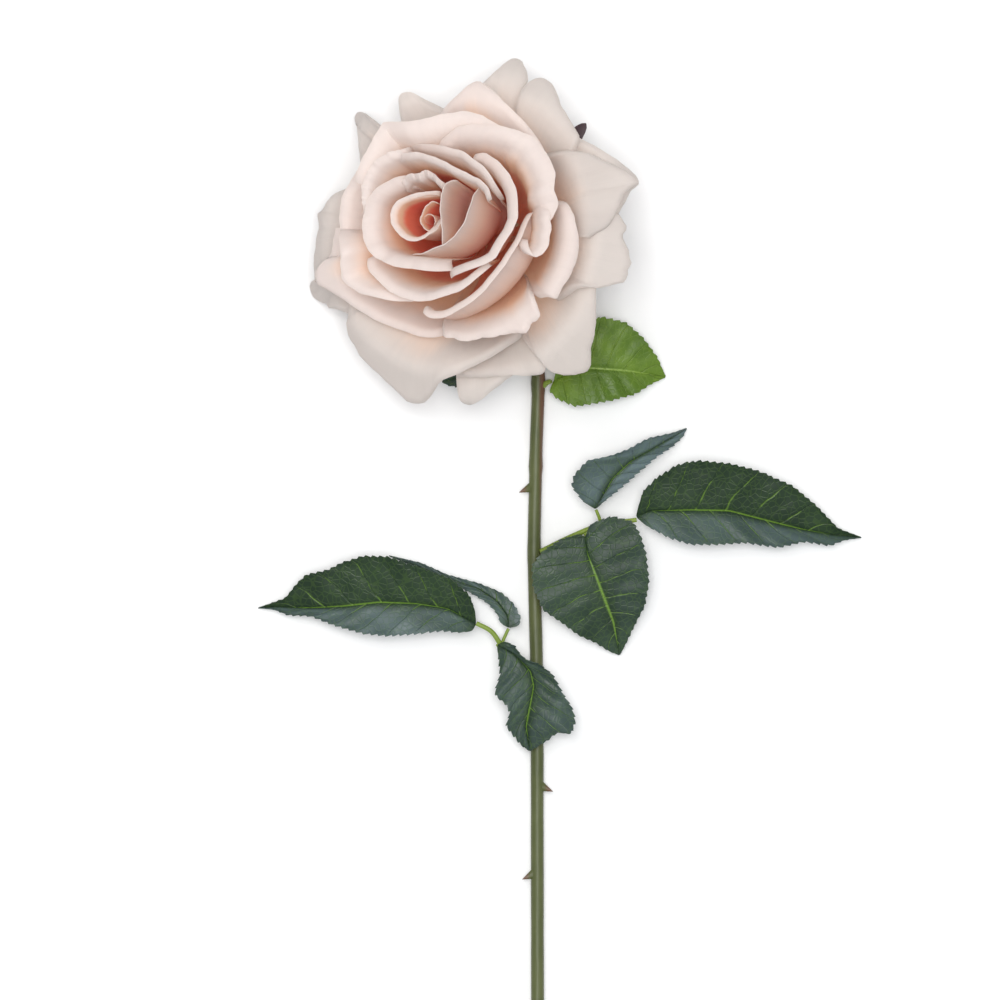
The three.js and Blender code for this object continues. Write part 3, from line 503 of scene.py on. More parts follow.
@dataclass(frozen=True)
class LeafFinish:
    """Leathery leaf: dark blade, yellow-green veins and a painted grey-blue sheen, the reflection of the soft light
    on glossy tilted parts painted into the colour.
    """

    name: str
    blade: Colour = (0.013, 0.030, 0.014)
    light: Colour = (0.024, 0.048, 0.022)
    vein: Colour = (0.15, 0.27, 0.035)
    # bloom is the colour of a painted reflection: the grey-blue sheen of the soft light on the glossy blade.
    bloom: Colour = (0.11, 0.155, 0.165)
    side_veins: float = 8.0
    lean: float = 0.16
    net: float = 0.10
    strength: float = 0.75
    roughness: float = 0.42

    def build(self, veins: Tree) -> Material:
        """Make the material with the shared feather veins."""
        material, nodes = new_material(self.name)
        web = nodes.place(veins, Side_veins=self.side_veins, Lean=self.lean, Width=0.05)
        patch = nodes.noise(70.0, 3.0)
        broken = nodes.span(nodes.noise(260.0, 2.0), 0.36, 0.58)
        colour = nodes.mix(nodes.span(patch, 0.35, 0.7), self.blade, self.light)
        # Painted sheen: where the attribute says, the colour turns to the grey-blue of the light's reflection, and
        # the painted veins fade under it.
        painted_sheen = nodes.attribute("painted_sheen")
        bloom = nodes.times(painted_sheen, nodes.span(nodes.noise(45.0, 3.0), 0.25, 0.6, 0.55, 1.0))
        colour = nodes.mix(bloom, colour, self.bloom)
        colour = nodes.mix(nodes.times(web.outputs["Net"], self.net), colour, self.vein)
        side = nodes.times(web.outputs["Veins"], broken)
        side = nodes.times(side, nodes.span(bloom, 0.2, 0.8, self.strength, 0.1))
        colour = nodes.mix(side, colour, self.vein)
        colour = nodes.mix(nodes.times(web.outputs["Midrib"], nodes.span(bloom, 0.4, 0.9, 1.0, 0.5)),
                           colour, self.vein)
        height = nodes.minus(nodes.times(patch, 0.6),
                            nodes.times(web.outputs["Net"], 0.22))
        height = nodes.minus(height, nodes.times(web.outputs["Veins"], 0.8))
        rough = nodes.span(nodes.noise(160.0, 2.0), 0.3, 0.7, self.roughness - 0.06, self.roughness + 0.08)
        principled(nodes, colour, rough, height, 0.25, Specular_IOR_Level=0.25, Coat_Weight=0.03,
                   Coat_Roughness=0.4, Sheen_Weight=0.05, Sheen_Roughness=0.35, Sheen_Tint=(0.75, 0.85, 1.0))
        return material


@dataclass(frozen=True)
class RindFinish:
    """Green rind of stem, stalks, hip and sepals, flushed red where the attribute says so."""

    name: str
    base: Colour = (0.062, 0.076, 0.022)
    pale: Colour = (0.10, 0.115, 0.04)
    flush: Colour = (0.13, 0.062, 0.035)
    stretch: float = 0.12
    roughness: float = 0.45

    def build(self) -> Material:
        """Make the material with fibres along Y and small pores."""
        material, nodes = new_material(self.name)
        coords = nodes.add("ShaderNodeTexCoord")
        mapping = nodes.add("ShaderNodeMapping")
        mapping.inputs["Scale"].default_value = (1.0, self.stretch, 1.0)
        nodes.link(coords.outputs["Object"], mapping.inputs["Vector"])
        fibres = nodes.noise(900.0, 3.0, mapping.outputs["Vector"])
        patch = nodes.noise(60.0, 3.0)
        colour = nodes.mix(nodes.span(patch, 0.3, 0.7), self.base, self.pale)
        colour = nodes.mix(nodes.times(nodes.span(fibres, 0.45, 0.7), 0.3), colour, self.pale)
        red = nodes.plus(nodes.attribute("flush"),
                         nodes.times(nodes.minus(patch, 0.5), 0.5))
        colour = nodes.mix(nodes.span(red, 0.25, 0.95), colour, self.flush)
        principled(nodes, colour, self.roughness, fibres, 0.12, Specular_IOR_Level=0.4)
        return material


@dataclass(frozen=True)
class FloorFinish:
    """Plain pale floor."""

    name: str = "Pale floor"
    colour: Colour = (0.93, 0.93, 0.93)

    def build(self) -> Material:
        """Make the plain material."""
        material = bpy.data.materials.new(self.name)
        material.use_nodes = True
        shader = material.node_tree.nodes["Principled BSDF"]
        shader.inputs["Base Color"].default_value = (*self.colour, 1.0)
        shader.inputs["Roughness"].default_value = 0.9
        shader.inputs["Specular IOR Level"].default_value = 0.1
        return material


# --------------------------------------------------------------------- the bloom
CUPS = np.array([
    [(0.8, 12.0), (0.9, 26.0), (1.2, 40.0), (1.5, 54.0)],
    [(3.5, 10.0), (15.0, 18.0), (14.0, 42.0), (14.0, 60.0)],
    [(7.0, 5.0), (34.0, 8.0), (32.0, 44.0), (44.0, 50.0)],
    [(10.0, 0.0), (40.0, -2.0), (52.0, 22.0), (62.0, 4.0)],
])


# Where the edges of the petals run seen from above, anticlockwise: x, y, x, y and so on in tenths of a millimetre.
OUTLINES: dict[str, Line] = {
    "guard_9": (37, 1234, 45, 1284, 59, 1329, 82, 1387, 95, 1424, 91, 1457, 74, 1490, 49, 1504, 21, 1486,
        -21, 1449, -62, 1412, -103, 1370, -132, 1317, -136, 1267),
    "guard_5": (251, 1168, 269, 1222, 236, 1280, 208, 1325, 194, 1366, 173, 1412, 154, 1427, 132, 1430,
        103, 1410, 78, 1366, 59, 1317, 45, 1259),
    "guard_1": (292, 880, 330, 903, 360, 920, 383, 954, 401, 995, 416, 1028, 435, 1049, 466, 1067,
        445, 1093, 400, 1119, 309, 1160, 235, 1177, 161, 1177),
    "guard_13": (391, 954, 416, 995, 437, 1045, 470, 1065, 456, 1094, 426, 1123, 379, 1159, 334, 1187,
        292, 1210, 268, 1224, 210, 1234, 152, 1226),
    "guard_2": (181, 703, 195, 671, 227, 685, 259, 703, 301, 719, 342, 715, 383, 725, 409, 732, 419, 752,
        438, 755, 438, 802, 426, 855, 414, 929, 395, 969, 360, 929, 325, 905, 276, 913),
    "guard_3": (95, 592, 88, 550, 99, 516, 136, 475, 177, 439, 214, 428, 264, 422, 294, 433, 306, 451,
        306, 501, 314, 575, 321, 649, 320, 715, 305, 765),
    "guard_10": (-153, 417, -103, 416, -54, 414, 37, 422, 128, 423, 151, 432, 161, 468, 144, 509),
    "guard_11": (-120, 468, -144, 417, -140, 377, -130, 336, -103, 321, -74, 333, -21, 376, 37, 418, 78, 460),
    "guard_4": (-503, 682, -513, 641, -513, 600, -503, 557, -478, 532, -467, 499, -433, 460, -392, 421,
        -350, 376, -317, 338, -280, 327, -250, 336, -223, 369, -208, 394, -186, 409, -144, 423, -103, 450,
        -21, 494, 62, 545, 95, 583, 103, 625),
    "guard_12": (-629, 752, -631, 723, -624, 697, -607, 677, -565, 660, -507, 631, -466, 608),
    "guard_6": (-511, 1070, -533, 1056, -565, 1046, -588, 1020, -606, 979, -612, 921, -617, 855, -620, 793,
        -614, 740),
    "outer_5": (-556, 929, -568, 880, -570, 831, -598, 814, -621, 792, -631, 766, -624, 737, -589, 719,
        -544, 689, -503, 656, -433, 616, -350, 582, -284, 560, -235, 552, -190, 557, -153, 579, -111, 616),
    "guard_7": (-383, 1292, -396, 1270, -433, 1300, -459, 1320, -481, 1325, -492, 1310, -486, 1259,
        -480, 1201, -474, 1152, -464, 1102),
    "guard_8": (-132, 1243, -153, 1288, -186, 1327, -227, 1348, -264, 1366, -291, 1384, -315, 1389,
        -339, 1384, -346, 1364, -339, 1317, -331, 1271, -317, 1218, -293, 1177),
    "outer_4": (177, 1070, 169, 1135, 147, 1189, 107, 1241, 62, 1292, 12, 1343, -25, 1386, -50, 1402,
        -74, 1416, -110, 1397, -148, 1365, -187, 1327, -218, 1280, -235, 1234),
    "middle_6": (62, 1201, 21, 1241, -54, 1288, -120, 1307, -186, 1300, -243, 1283, -317, 1269, -393, 1271,
        -416, 1234, -441, 1193, -467, 1144, -482, 1102, -486, 1070),
    "outer_3": (103, 752, 113, 707, 132, 677, 162, 685, 192, 672, 210, 715, 235, 756, 257, 806, 265, 880,
        253, 954, 228, 997, 194, 1012, 162, 995, 144, 971),
    "outer_2": (-186, 616, -195, 579, -187, 544, -120, 534, -37, 545, 45, 562, 96, 565, 103, 598, 134, 612,
        131, 649, 118, 685, 107, 715, 99, 756),
    "outer_1": (-433, 1152, -464, 1135, -503, 1090, -529, 1046, -544, 995, -542, 929, -532, 863, -556, 818),
    "middle_9": (152, 905, 181, 950, 195, 995, 177, 1037, 184, 1090, 162, 1152, 124, 1210, 62, 1238,
        -4, 1257, -87, 1261, -144, 1251, -194, 1210, -218, 1168),
    "heart_2": (-203, 994, -226, 1003, -249, 987, -263, 960, -265, 932, -256, 912, -241, 902, -226, 906,
        -209, 923, -200, 945),
    "bud_3": (-195, 1032, -199, 1038, -234, 1037, -279, 1032, -309, 1020, -339, 1005, -359, 985, -369, 960,
        -366, 930, -354, 905, -334, 882, -309, 869, -284, 867, -254, 876, -229, 895, -206, 919, -198, 945),
    "inner_1": (-186, 845, -193, 855, -196, 925, -200, 985, -196, 1024, -186, 1057, -164, 1070, -139, 1072),
    "inner_3": (-299, 825, -264, 823, -229, 839, -189, 854, -154, 880, -122, 925, -99, 985, -87, 1022,
        -69, 1049, -59, 1052),
    "inner_2": (-179, 1039, -186, 1059, -218, 1095, -234, 1104, -254, 1107, -274, 1095, -299, 1092,
        -316, 1089, -329, 1074, -331, 1054),
    "inner_4": (-299, 1089, -309, 1093, -339, 1089, -369, 1079, -398, 1062, -428, 1034, -448, 1005,
        -456, 975, -458, 945, -463, 920, -458, 885, -448, 855, -433, 830, -418, 810, -388, 795, -354, 780,
        -319, 773, -269, 771, -219, 769, -163, 769, -154, 773),
    "inner_5": (-24, 1005, -39, 1044, -69, 1074, -99, 1084, -129, 1099, -179, 1134, -219, 1152, -279, 1164,
        -329, 1164, -364, 1149),
    "middle_1": (-164, 743, -159, 750, -104, 770, -54, 790, -14, 810, 16, 855, 45, 900, 63, 945, 58, 990,
        51, 1044, 33, 1089, -4, 1132, -49, 1164, -84, 1162),
    "middle_5": (-259, 633, -246, 617, -224, 611, -196, 613, -162, 625, -119, 647, -82, 675, -47, 703,
        -12, 743, 21, 790, 50, 845, 80, 900, 109, 960, 115, 965),
    "middle_2": (-444, 815, -447, 800, -441, 778, -423, 753, -398, 720, -364, 693, -329, 678, -279, 667,
        -229, 672, -179, 684, -139, 699, -99, 723, -59, 755, -24, 785),
    "middle_3": (-299, 1187, -344, 1179, -378, 1167, -413, 1142, -436, 1122, -456, 1082, -467, 1044,
        -467, 1015, -461, 985, -464, 955),
    "middle_7": (-543, 925, -542, 875, -537, 825, -540, 790, -533, 745, -513, 725, -471, 700, -413, 679,
        -354, 668, -299, 666, -259, 675),
    "middle_4": (21, 1010, -9, 1049, -29, 1079, -59, 1117, -99, 1149, -129, 1169, -179, 1187, -229, 1197,
        -279, 1194, -329, 1184),
    "middle_8": (90, 875, 101, 845, 108, 825, 120, 811, 140, 823, 163, 855, 173, 905, 168, 955, 155, 1005),
    "bud_1": (-195, 1020, -214, 1025, -234, 1027, -259, 1023, -284, 1014, -306, 1005, -329, 994, -343, 978),
    "bud_2": (-279, 880, -254, 885, -229, 894, -210, 911, -197, 935, -196, 965, -197, 985),
}


def soften(corners: Line, count: int, width: float = 1.1) -> Array:
    """Places evenly spaced along a line, with its corners eased.

    Args:
        corners: x, y, x, y of the line's corners in tenths of a millimetre.
        count: how many places.
        width: how far a corner is eased, in millimetres.

    Returns:
        The places.
    """
    line = np.array(corners, float).reshape(-1, 2) / 10.0
    along = run_length(line)
    fine = np.linspace(0.0, along[-1], 400)
    dense = read_rows(fine, along, line)
    weights = np.exp(-(((fine[:, None] - fine[None, :]) / width) ** 2))
    eased = weights @ dense / weights.sum(1, keepdims=True)
    return read_rows(np.linspace(0.0, along[-1], count), fine, eased)


def cubic(t: Array) -> Array:
    """The four cubic weights at t."""
    t = np.asarray(t, float)
    m = 1.0 - t
    return np.stack([m**3, 3 * t * m * m, 3 * t * t * m, t**3], -1)


def cubic_slope(t: Array) -> Array:
    """How the four cubic weights change at t."""
    t = np.asarray(t, float)
    m = 1.0 - t
    return np.stack([-3 * m * m, 3 * m * m - 6 * t * m, 6 * t * m - 3 * t * t, 3 * t * t], -1)


def cup(layer: Array, rise: Array) -> Array:
    """Radius and height on the nested cups, layer 0 at the heart to 1 outermost, straight on past rise 1."""
    base = np.einsum("...i,...j,ijk->...k", cubic(layer), cubic(np.minimum(rise, 1.0)), CUPS)
    past = np.maximum(np.asarray(rise) - 1.0, 0.0)[..., None]
    return base + past * cup_slope(layer, np.minimum(rise, 1.0))


def cup_slope(layer: Array, rise: Array) -> Array:
    """Direction from seat to rim on the nested cups, in millimetres per unit of rise."""
    return np.einsum("...i,...j,ijk->...k", cubic(layer), cubic_slope(np.minimum(rise, 1.0)), CUPS)


def stand_on_stem(points: Array) -> Array:
    """Turn the bloom's own frame to how the bloom leans, in drawing millimetres."""
    ca, sa, cb, sb = math.cos(BLOOM_TILT), math.sin(BLOOM_TILT), math.cos(BLOOM_NOD), math.sin(BLOOM_NOD)
    lean = np.array([[ca, 0.0, -sa], [0.0, 1.0, 0.0], [sa, 0.0, ca]])
    nod = np.array([[1.0, 0.0, 0.0], [0.0, cb, sb], [0.0, -sb, cb]])
    stood = points @ (nod @ lean).T + np.array(BLOOM_SEAT)
    low = FLAT_FLOOR + FLOOR_EASE * np.logaddexp(0.0, (stood[:, 2] - FLAT_FLOOR) / FLOOR_EASE)
    stood[:, 2] = np.where(stood[:, 2] < 9.0, low, stood[:, 2])
    return stood


@dataclass
class Lip:
    """The rolled edge of a petal."""

    length: float = 3.0
    curl: float = 75.0
    flank: float = 0.0


@dataclass
class Petal:
    """One petal, laid on the bloom's nested cups."""

    name: str
    azimuth: float
    half: float
    layer: float
    drift: float = 0.0
    lift: float = 0.0
    reach: float = 1.0
    shoulder: float = 0.85
    point: float = 0.0
    tip_at: float = 0.0
    lip: Lip = field(default_factory=Lip)
    ruffle: float = 0.5
    waves: float = 1.6
    nick: float = 0.006
    seed: float = 0.0
    keel: float = 0.0
    belly: float = 0.0
    BLADE_SHARE = 0.84

    def __post_init__(self) -> None:
        """Find where on its cup the petal's edge runs, if its outline from above is given."""
        self.outline = OUTLINES.get(self.name, ())
        if self.outline:
            self.nodes = np.linspace(-1.0, 1.0, 97)
            self.layers = self.layer + self.drift * self.nodes + self.lift * self.nodes**2
            self.rises = self.arch(self.nodes)
            self.turns = self.trace(soften(self.outline, len(self.nodes), 0.5 if self.inside else 1.1))

    @property
    def ring(self) -> Ring:
        """The ring that the petal's name begins with."""
        return Ring(self.name.split("_")[0])

    @property
    def inside(self) -> bool:
        """Whether the petal stands too steep for its edge to be set by how far up it reaches."""
        return self.ring not in (Ring.OUTER, Ring.GUARD)

    def trace(self, wanted: Array) -> Array:
        """Find where the rolled edge stands over each wanted place.

        A steep petal gets there by its layer, a flat one by its rise.

        Args:
            wanted: places in the drawing, seen from above, across the petal.

        Returns:
            Azimuths in radians, one for each place; the layers or the rises are kept.
        """
        spot = wanted - np.array(BLOOM_SEAT[:2])
        beside = (16.0 if self.inside else 10.0) * (1.0 - self.layer)
        turn = np.unwrap(np.arctan2(spot[:, 1], spot[:, 0] + beside))
        step = 1e-4
        up, out = (0.0, step) if self.inside else (step, 0.0)
        for _ in range(50):
            here = self.over(self.layers, self.rises, turn)
            shift = (self.over(self.layers + out, self.rises + up, turn) - here) / step
            sweep = (self.over(self.layers, self.rises, turn + step) - here) / step
            miss = wanted - here
            area = shift[:, 0] * sweep[:, 1] - shift[:, 1] * sweep[:, 0]
            area = np.where(np.abs(area) < 1.0, np.where(area < 0, -1.0, 1.0), area)
            gain = np.clip((miss[:, 0] * sweep[:, 1] - miss[:, 1] * sweep[:, 0]) / area, -0.05, 0.05)
            if self.inside:
                self.layers = np.clip(self.layers + gain, 0.025, 0.8)
            else:
                self.rises = np.clip(self.rises + gain, 0.3, 1.6)
            turn = turn + np.clip((shift[:, 0] * miss[:, 1] - shift[:, 1] * miss[:, 0]) / area, -0.15, 0.15)
        LOG.info("petal %s stands %.1f mm off its outline", self.name, np.abs(miss).max())
        return np.unwrap(turn)  # a step may land a whole turn away

    def over(self, layer: Array, rise: Array, turn: Array) -> Array:
        """Where the end of the lip stands in the drawing, seen from above."""
        profile, _ = self.roll(layer, rise, np.ones_like(rise), self.nodes)
        return stand_on_stem(around(profile[:, 0], turn, profile[:, 1]))[:, :2]

    def roll(self, layer: Array, rise: Array, k: Array,
             u: Array) -> tuple[Array, Array]:
        """The cup's profile and outward direction, with a share k of the lip rolled out beyond it."""
        profile = cup(layer, rise)
        slope = cup_slope(layer, rise)
        ahead = slope / np.linalg.norm(slope, axis=-1, keepdims=True)
        out = np.stack([ahead[:, 1], -ahead[:, 0]], -1)
        near_tip = np.exp(-((u - self.tip_at) / 0.3) ** 2)
        curl = np.radians(self.lip.curl + self.lip.flank * (1.0 - near_tip))
        steps = 24
        for i in range(steps):
            turned = curl * ((i + 0.5) / steps * k) ** 1.25
            stride = (self.lip.length * k / steps)[:, None]
            profile = profile + stride * (np.cos(turned)[:, None] * ahead + np.sin(turned)[:, None] * out)
        return profile, out

    def rim(self, u: Array) -> Array:
        """How far up the cup the blade reaches at each place across it, with its small unevenness."""
        edge = np.interp(u, self.nodes, self.rises) if self.outline else self.arch(u)
        fine = 0.4 * self.nick * wobble(u, self.seed + 3, 9.0)
        return edge * (1.0 + self.nick * wobble(u, self.seed, 3.1) + fine)

    def arch(self, u: Array) -> Array:
        """The even line of the rim: shoulders, and a round or pointed tip."""
        soft = 0.12
        w = np.where(u > self.tip_at, (u - self.tip_at) / (1 - self.tip_at),
                     (self.tip_at - u) / (1 + self.tip_at))
        ramp = (np.hypot(w, soft) - soft) / (math.hypot(1, soft) - soft)
        rounded = np.sqrt(np.clip(1.0 - w**2.5, 0.0, 1.0))
        form = (1 - self.point) * rounded + self.point * (1 - ramp)
        edge = self.reach * (self.shoulder + (1 - self.shoulder) * form)
        return edge - 0.010 * (self.lip.length - 2.5)

    def surface(self, u: Array, t: Array) -> Array:
        """The middle of the petal's thickness in the bloom's frame.

        Args:
            u: place across, -1 to 1.
            t: place along, 0 at the seat, 1 at the end of the lip.

        Returns:
            Points in millimetres.
        """
        v = np.clip(t / self.BLADE_SHARE, 0.0, 1.0)
        start = 0.96 if self.half > 80 else 0.5
        spread = start + (1.0 - start) * smooth(v, 0.0, 0.55)
        across = u * spread
        theta = np.radians(self.azimuth + self.half * across)
        if self.outline:
            turns = np.interp(u, self.nodes, self.turns)
            middle = 0.5 * (self.turns[0] + self.turns[-1])
            theta = middle + (turns - middle) * spread
        layer = self.layer + self.drift * across + self.lift * across**2
        if self.outline:
            layer = np.interp(u, self.nodes, self.layers)
        first = 0.45 / np.linalg.norm(cup_slope(layer, np.zeros_like(layer)), axis=-1)
        rise = first + (self.rim(u) - first) * v
        # the lip turns outwards, more along the flanks where the petal is reflexed
        k = np.clip((t - self.BLADE_SHARE) / (1.0 - self.BLADE_SHARE), 0.0, 1.0)
        profile, out = self.roll(layer, rise, k, u)
        # ruffles grow towards the rim
        swing = self.ruffle * wobble(u, self.seed + 1.3, self.waves / 2.0) * v**4
        swing = swing - self.keel * np.exp(-((u - self.tip_at) / 0.16) ** 2) * v**3
        swing = swing + self.belly * np.sin(math.pi * np.clip((v - 0.1) / 0.9, 0.0, 1.0)) ** 1.5
        profile = profile + out * swing[:, None]
        return around(profile[:, 0], theta, profile[:, 1])

    def warmth(self, u: Array, t: Array) -> Array:
        """How peach the petal is, from 0 pale to 1 deep."""
        bands = {
            Ring.HEART: (0.60, 1.10, 1.25),
            Ring.BUD: (0.58, 1.04, 1.35),
            Ring.INNER: (0.45, 0.97, 1.05),
            Ring.MIDDLE: (0.35, 0.94, 0.95),
            Ring.OUTER: (0.30, 0.85, 0.80),
            Ring.GUARD: (0.15, 0.70, 0.50),
        }
        lo, hi, most = bands[self.ring]
        return most * (1.0 - smooth(t, lo, hi))

    def pale_outside(self, obj: Object, form: Array, t: Array) -> None:
        """Let the outer face of the petal be paler than the inner face.

        Args:
            obj: the thickened petal.
            form: the petal's middle in the bloom's frame.
            t: place along the petal of each vertex of one face.
        """
        co = get_points(obj)
        count = len(t)
        away = stand_on_stem(form) - stand_on_stem(form * (0.0, 0.0, 1.0))
        apart = co[count:2 * count] - co[:count]
        wall = (t > 0.2) & (t < 0.6)
        second = float(np.sum((away * apart)[wall])) > 0
        layer = obj.data.attributes["warmth"]
        values = np.empty(len(co), np.float32)
        layer.data.foreach_get("value", values)
        face = slice(count, 2 * count) if second else slice(0, count)
        values[face] *= 0.4
        layer.data.foreach_set("value", values)

    def build(self, datum: Datum, material: Material) -> Object:
        """Shape, thicken and dress the petal.

        Args:
            datum: where the drawing stands in the frame.
            material: the petal's material.

        Returns:
            The finished piece.
        """
        across = 72 if self.half > 100 else 60 if self.half > 50 else 48
        obj, u, t = new_grid(f"Petal_{self.name}", across, 56)
        t = t**0.9
        form = self.surface(u, t)
        set_points(obj, datum.place(stand_on_stem(form)))
        add_attribute(obj, "warmth", self.warmth(u, t))
        edge = np.maximum(smooth(t, 0.965, 1.0), smooth(np.abs(u), 0.97, 1.0) * smooth(t, 0.4, 0.7))
        add_attribute(obj, "rim", edge)
        thicken(obj, PETAL_WALL, 1.0 - 0.45 * smooth(t, 0.5, 1.0))
        self.pale_outside(obj, form, t)
        slot = {Ring.HEART: "petal_heart", Ring.BUD: "petal_heart", Ring.GUARD: "petal_guard"}
        finish_piece(obj, material, slot.get(self.ring, "petal"), f"petal_{self.name}")
        return obj


def make_petals() -> list[Petal]:
    """The petals from the heart outwards."""
    rows = [
        Petal("heart_1", 60, 140, 0.016, 0.005, 0, 0.93, 0.9, lip=Lip(0.5, 20), ruffle=0.1),
        Petal("heart_2", 250, 120, 0.05, 0.0, 0, 0.96, 0.9, lip=Lip(0.8, 30), ruffle=0.1),
        Petal("bud_1", 95, 85, 0.1, 0.0, 0, 0.98, 0.86, lip=Lip(0.6, 20), ruffle=0.1),
        Petal("bud_2", 285, 60, 0.1, 0, 0, 0.98, 0.86, lip=Lip(0.5, 20), ruffle=0.1),
        Petal("bud_3", 180, 88, 0.2, 0, 0, 1, 0.86, lip=Lip(3.0, 85), ruffle=0.3),
        Petal("inner_1", 5, 58, 0.182, 0, 0.05, 1, 0.9, lip=Lip(1.0, 25), ruffle=0.2),
        Petal("inner_2", 90, 40, 0.285, -0.01, 0.01, 0.98, 0.85, lip=Lip(4.5, 75), nick=0.012),
        Petal("inner_3", 306, 80, 0.265, 0.03, 0.07, 1, 0.85, lip=Lip(1.0, 25), ruffle=0.2, belly=3.0),
        Petal("inner_4", 205, 88, 0.345, 0.01, 0.02, 1, 0.82, lip=Lip(7.5, 85), nick=0.014),
        Petal("inner_5", 62, 54, 0.405, 0, 0.03, 1.1, 0.85, lip=Lip(3.5, 70)),
        Petal("middle_1", 325, 52, 0.43, 0.03, 0.01, 1.05, 0.82, lip=Lip(5.0, 85)),
        Petal("middle_2", 258, 55, 0.49, 0, 0.01, 1.02, 0.85, lip=Lip(4.0, 80)),
        Petal("middle_3", 158, 46, 0.466, 0, 0, 1.1, 0.78, 0, -0.3, lip=Lip(4.0, 75), nick=0.012),
        Petal("middle_4", 35, 48, 0.515, 0, 0.01, 1.12, 0.6, 0.2, -0.3, lip=Lip(3.5, 70)),
        Petal("middle_5", 308, 54, 0.545, 0.01, 0.01, 0.97, 0.86, lip=Lip(3.0, 75), belly=7.0),
        Petal("middle_6", 112, 44, 0.595, 0, 0, 1.08, 0.9, 0, 0.2, lip=Lip(8.0, 75)),
        Petal("middle_7", 213, 36, 0.59, -0.02, 0, 1.1, 0.6, 0.3, -0.6, lip=Lip(4.0, 80)),
        Petal("middle_8", 352, 32, 0.6, 0, 0, 1.12, 0.75, 0, 0.3, lip=Lip(4.0, 75)),
        Petal("middle_9", 46, 54, 0.645, 0, 0.01, 1.17, 0.6, 0.2, -0.35, lip=Lip(8.0, 80)),
        Petal("outer_1", 178, 42, 0.655, 0, 0, 1, 0.85, lip=Lip(4.5, 85), ruffle=0.8),
        Petal("outer_2", 292, 31, 0.67, 0.01, 0, 1.15, 0.75, 0.1, 0.6, lip=Lip(3.5, 80), ruffle=0.8, nick=0.02),
        Petal("outer_3", 346, 27, 0.71, 0, 0, 1.08, 0.8, lip=Lip(4.5, 85), ruffle=0.6),
        Petal("outer_4", 78, 42, 0.73, 0, 0, 1.13, 0.72, 0.7, lip=Lip(3.5, 60, 40), ruffle=0.6),
        Petal("outer_5", 222, 46, 0.745, 0, 0, 1.22, 0.55, 0.3, -0.61, lip=Lip(4.0, 70, 20), ruffle=0.8),
        Petal("guard_1", 15, 36, 0.795, 0, 0, 1.17, 0.65, 0.6, lip=Lip(4.0, 60, 60), ruffle=0.9, keel=1.0),
        Petal("guard_2", 346, 28, 0.84, 0, 0, 1.16, 0.7, 0.5, lip=Lip(3.5, 50, 60), ruffle=1.0, nick=0.03),
        Petal("guard_3", 309, 34, 0.882, 0, 0, 1.18, 0.62, 0.7, lip=Lip(4.0, 50, 70), ruffle=0.9),
        Petal("guard_4", 249, 42, 0.84, 0, 0, 1.2, 0.62, 0.8, lip=Lip(4.0, 50, 70), ruffle=0.9),
        Petal("guard_5", 62, 30, 0.85, 0, 0, 1.09, 0.5, 0.9, lip=Lip(4.0, 40, 80), ruffle=0.6),
        Petal("guard_6", 178, 35, 0.87, 0, 0, 1.08, 0.75, lip=Lip(4.5, 90), ruffle=0.9),
        Petal("guard_7", 137, 26, 0.926, 0, 0, 1.2, 0.42, 0.95, lip=Lip(4.0, 30, 90), ruffle=0.4),
        Petal("guard_8", 113, 26, 0.88, 0, 0, 0.93, 0.5, 0.9, lip=Lip(4.0, 30, 90), ruffle=0.4),
        Petal("guard_9", 79, 26, 0.93, 0, 0, 1.07, 0.42, 0.9, lip=Lip(4.0, 30, 90), ruffle=0.4),
        Petal("guard_10", 285, 28, 0.935, 0, 0, 0.93, 0.75, 0.2, lip=Lip(3.5, 60, 40), ruffle=0.8),
        Petal("guard_11", 266, 22, 0.975, 0, 0, 0.99, 0.5, 0.9, lip=Lip(3.5, 30, 80), ruffle=0.4),
        Petal("guard_12", 206, 30, 0.918, 0, 0, 1.22, 0.6, 0.4, -0.2, lip=Lip(4.0, 70, 30), ruffle=0.9),
        Petal("guard_13", 14, 30, 0.93, 0, 0, 1.1, 0.5, 0.9, lip=Lip(3.5, 40, 70), ruffle=0.5),
    ]
    for i, petal in enumerate(rows):
        petal.seed = 1.0 + 0.83 * i
    return rows


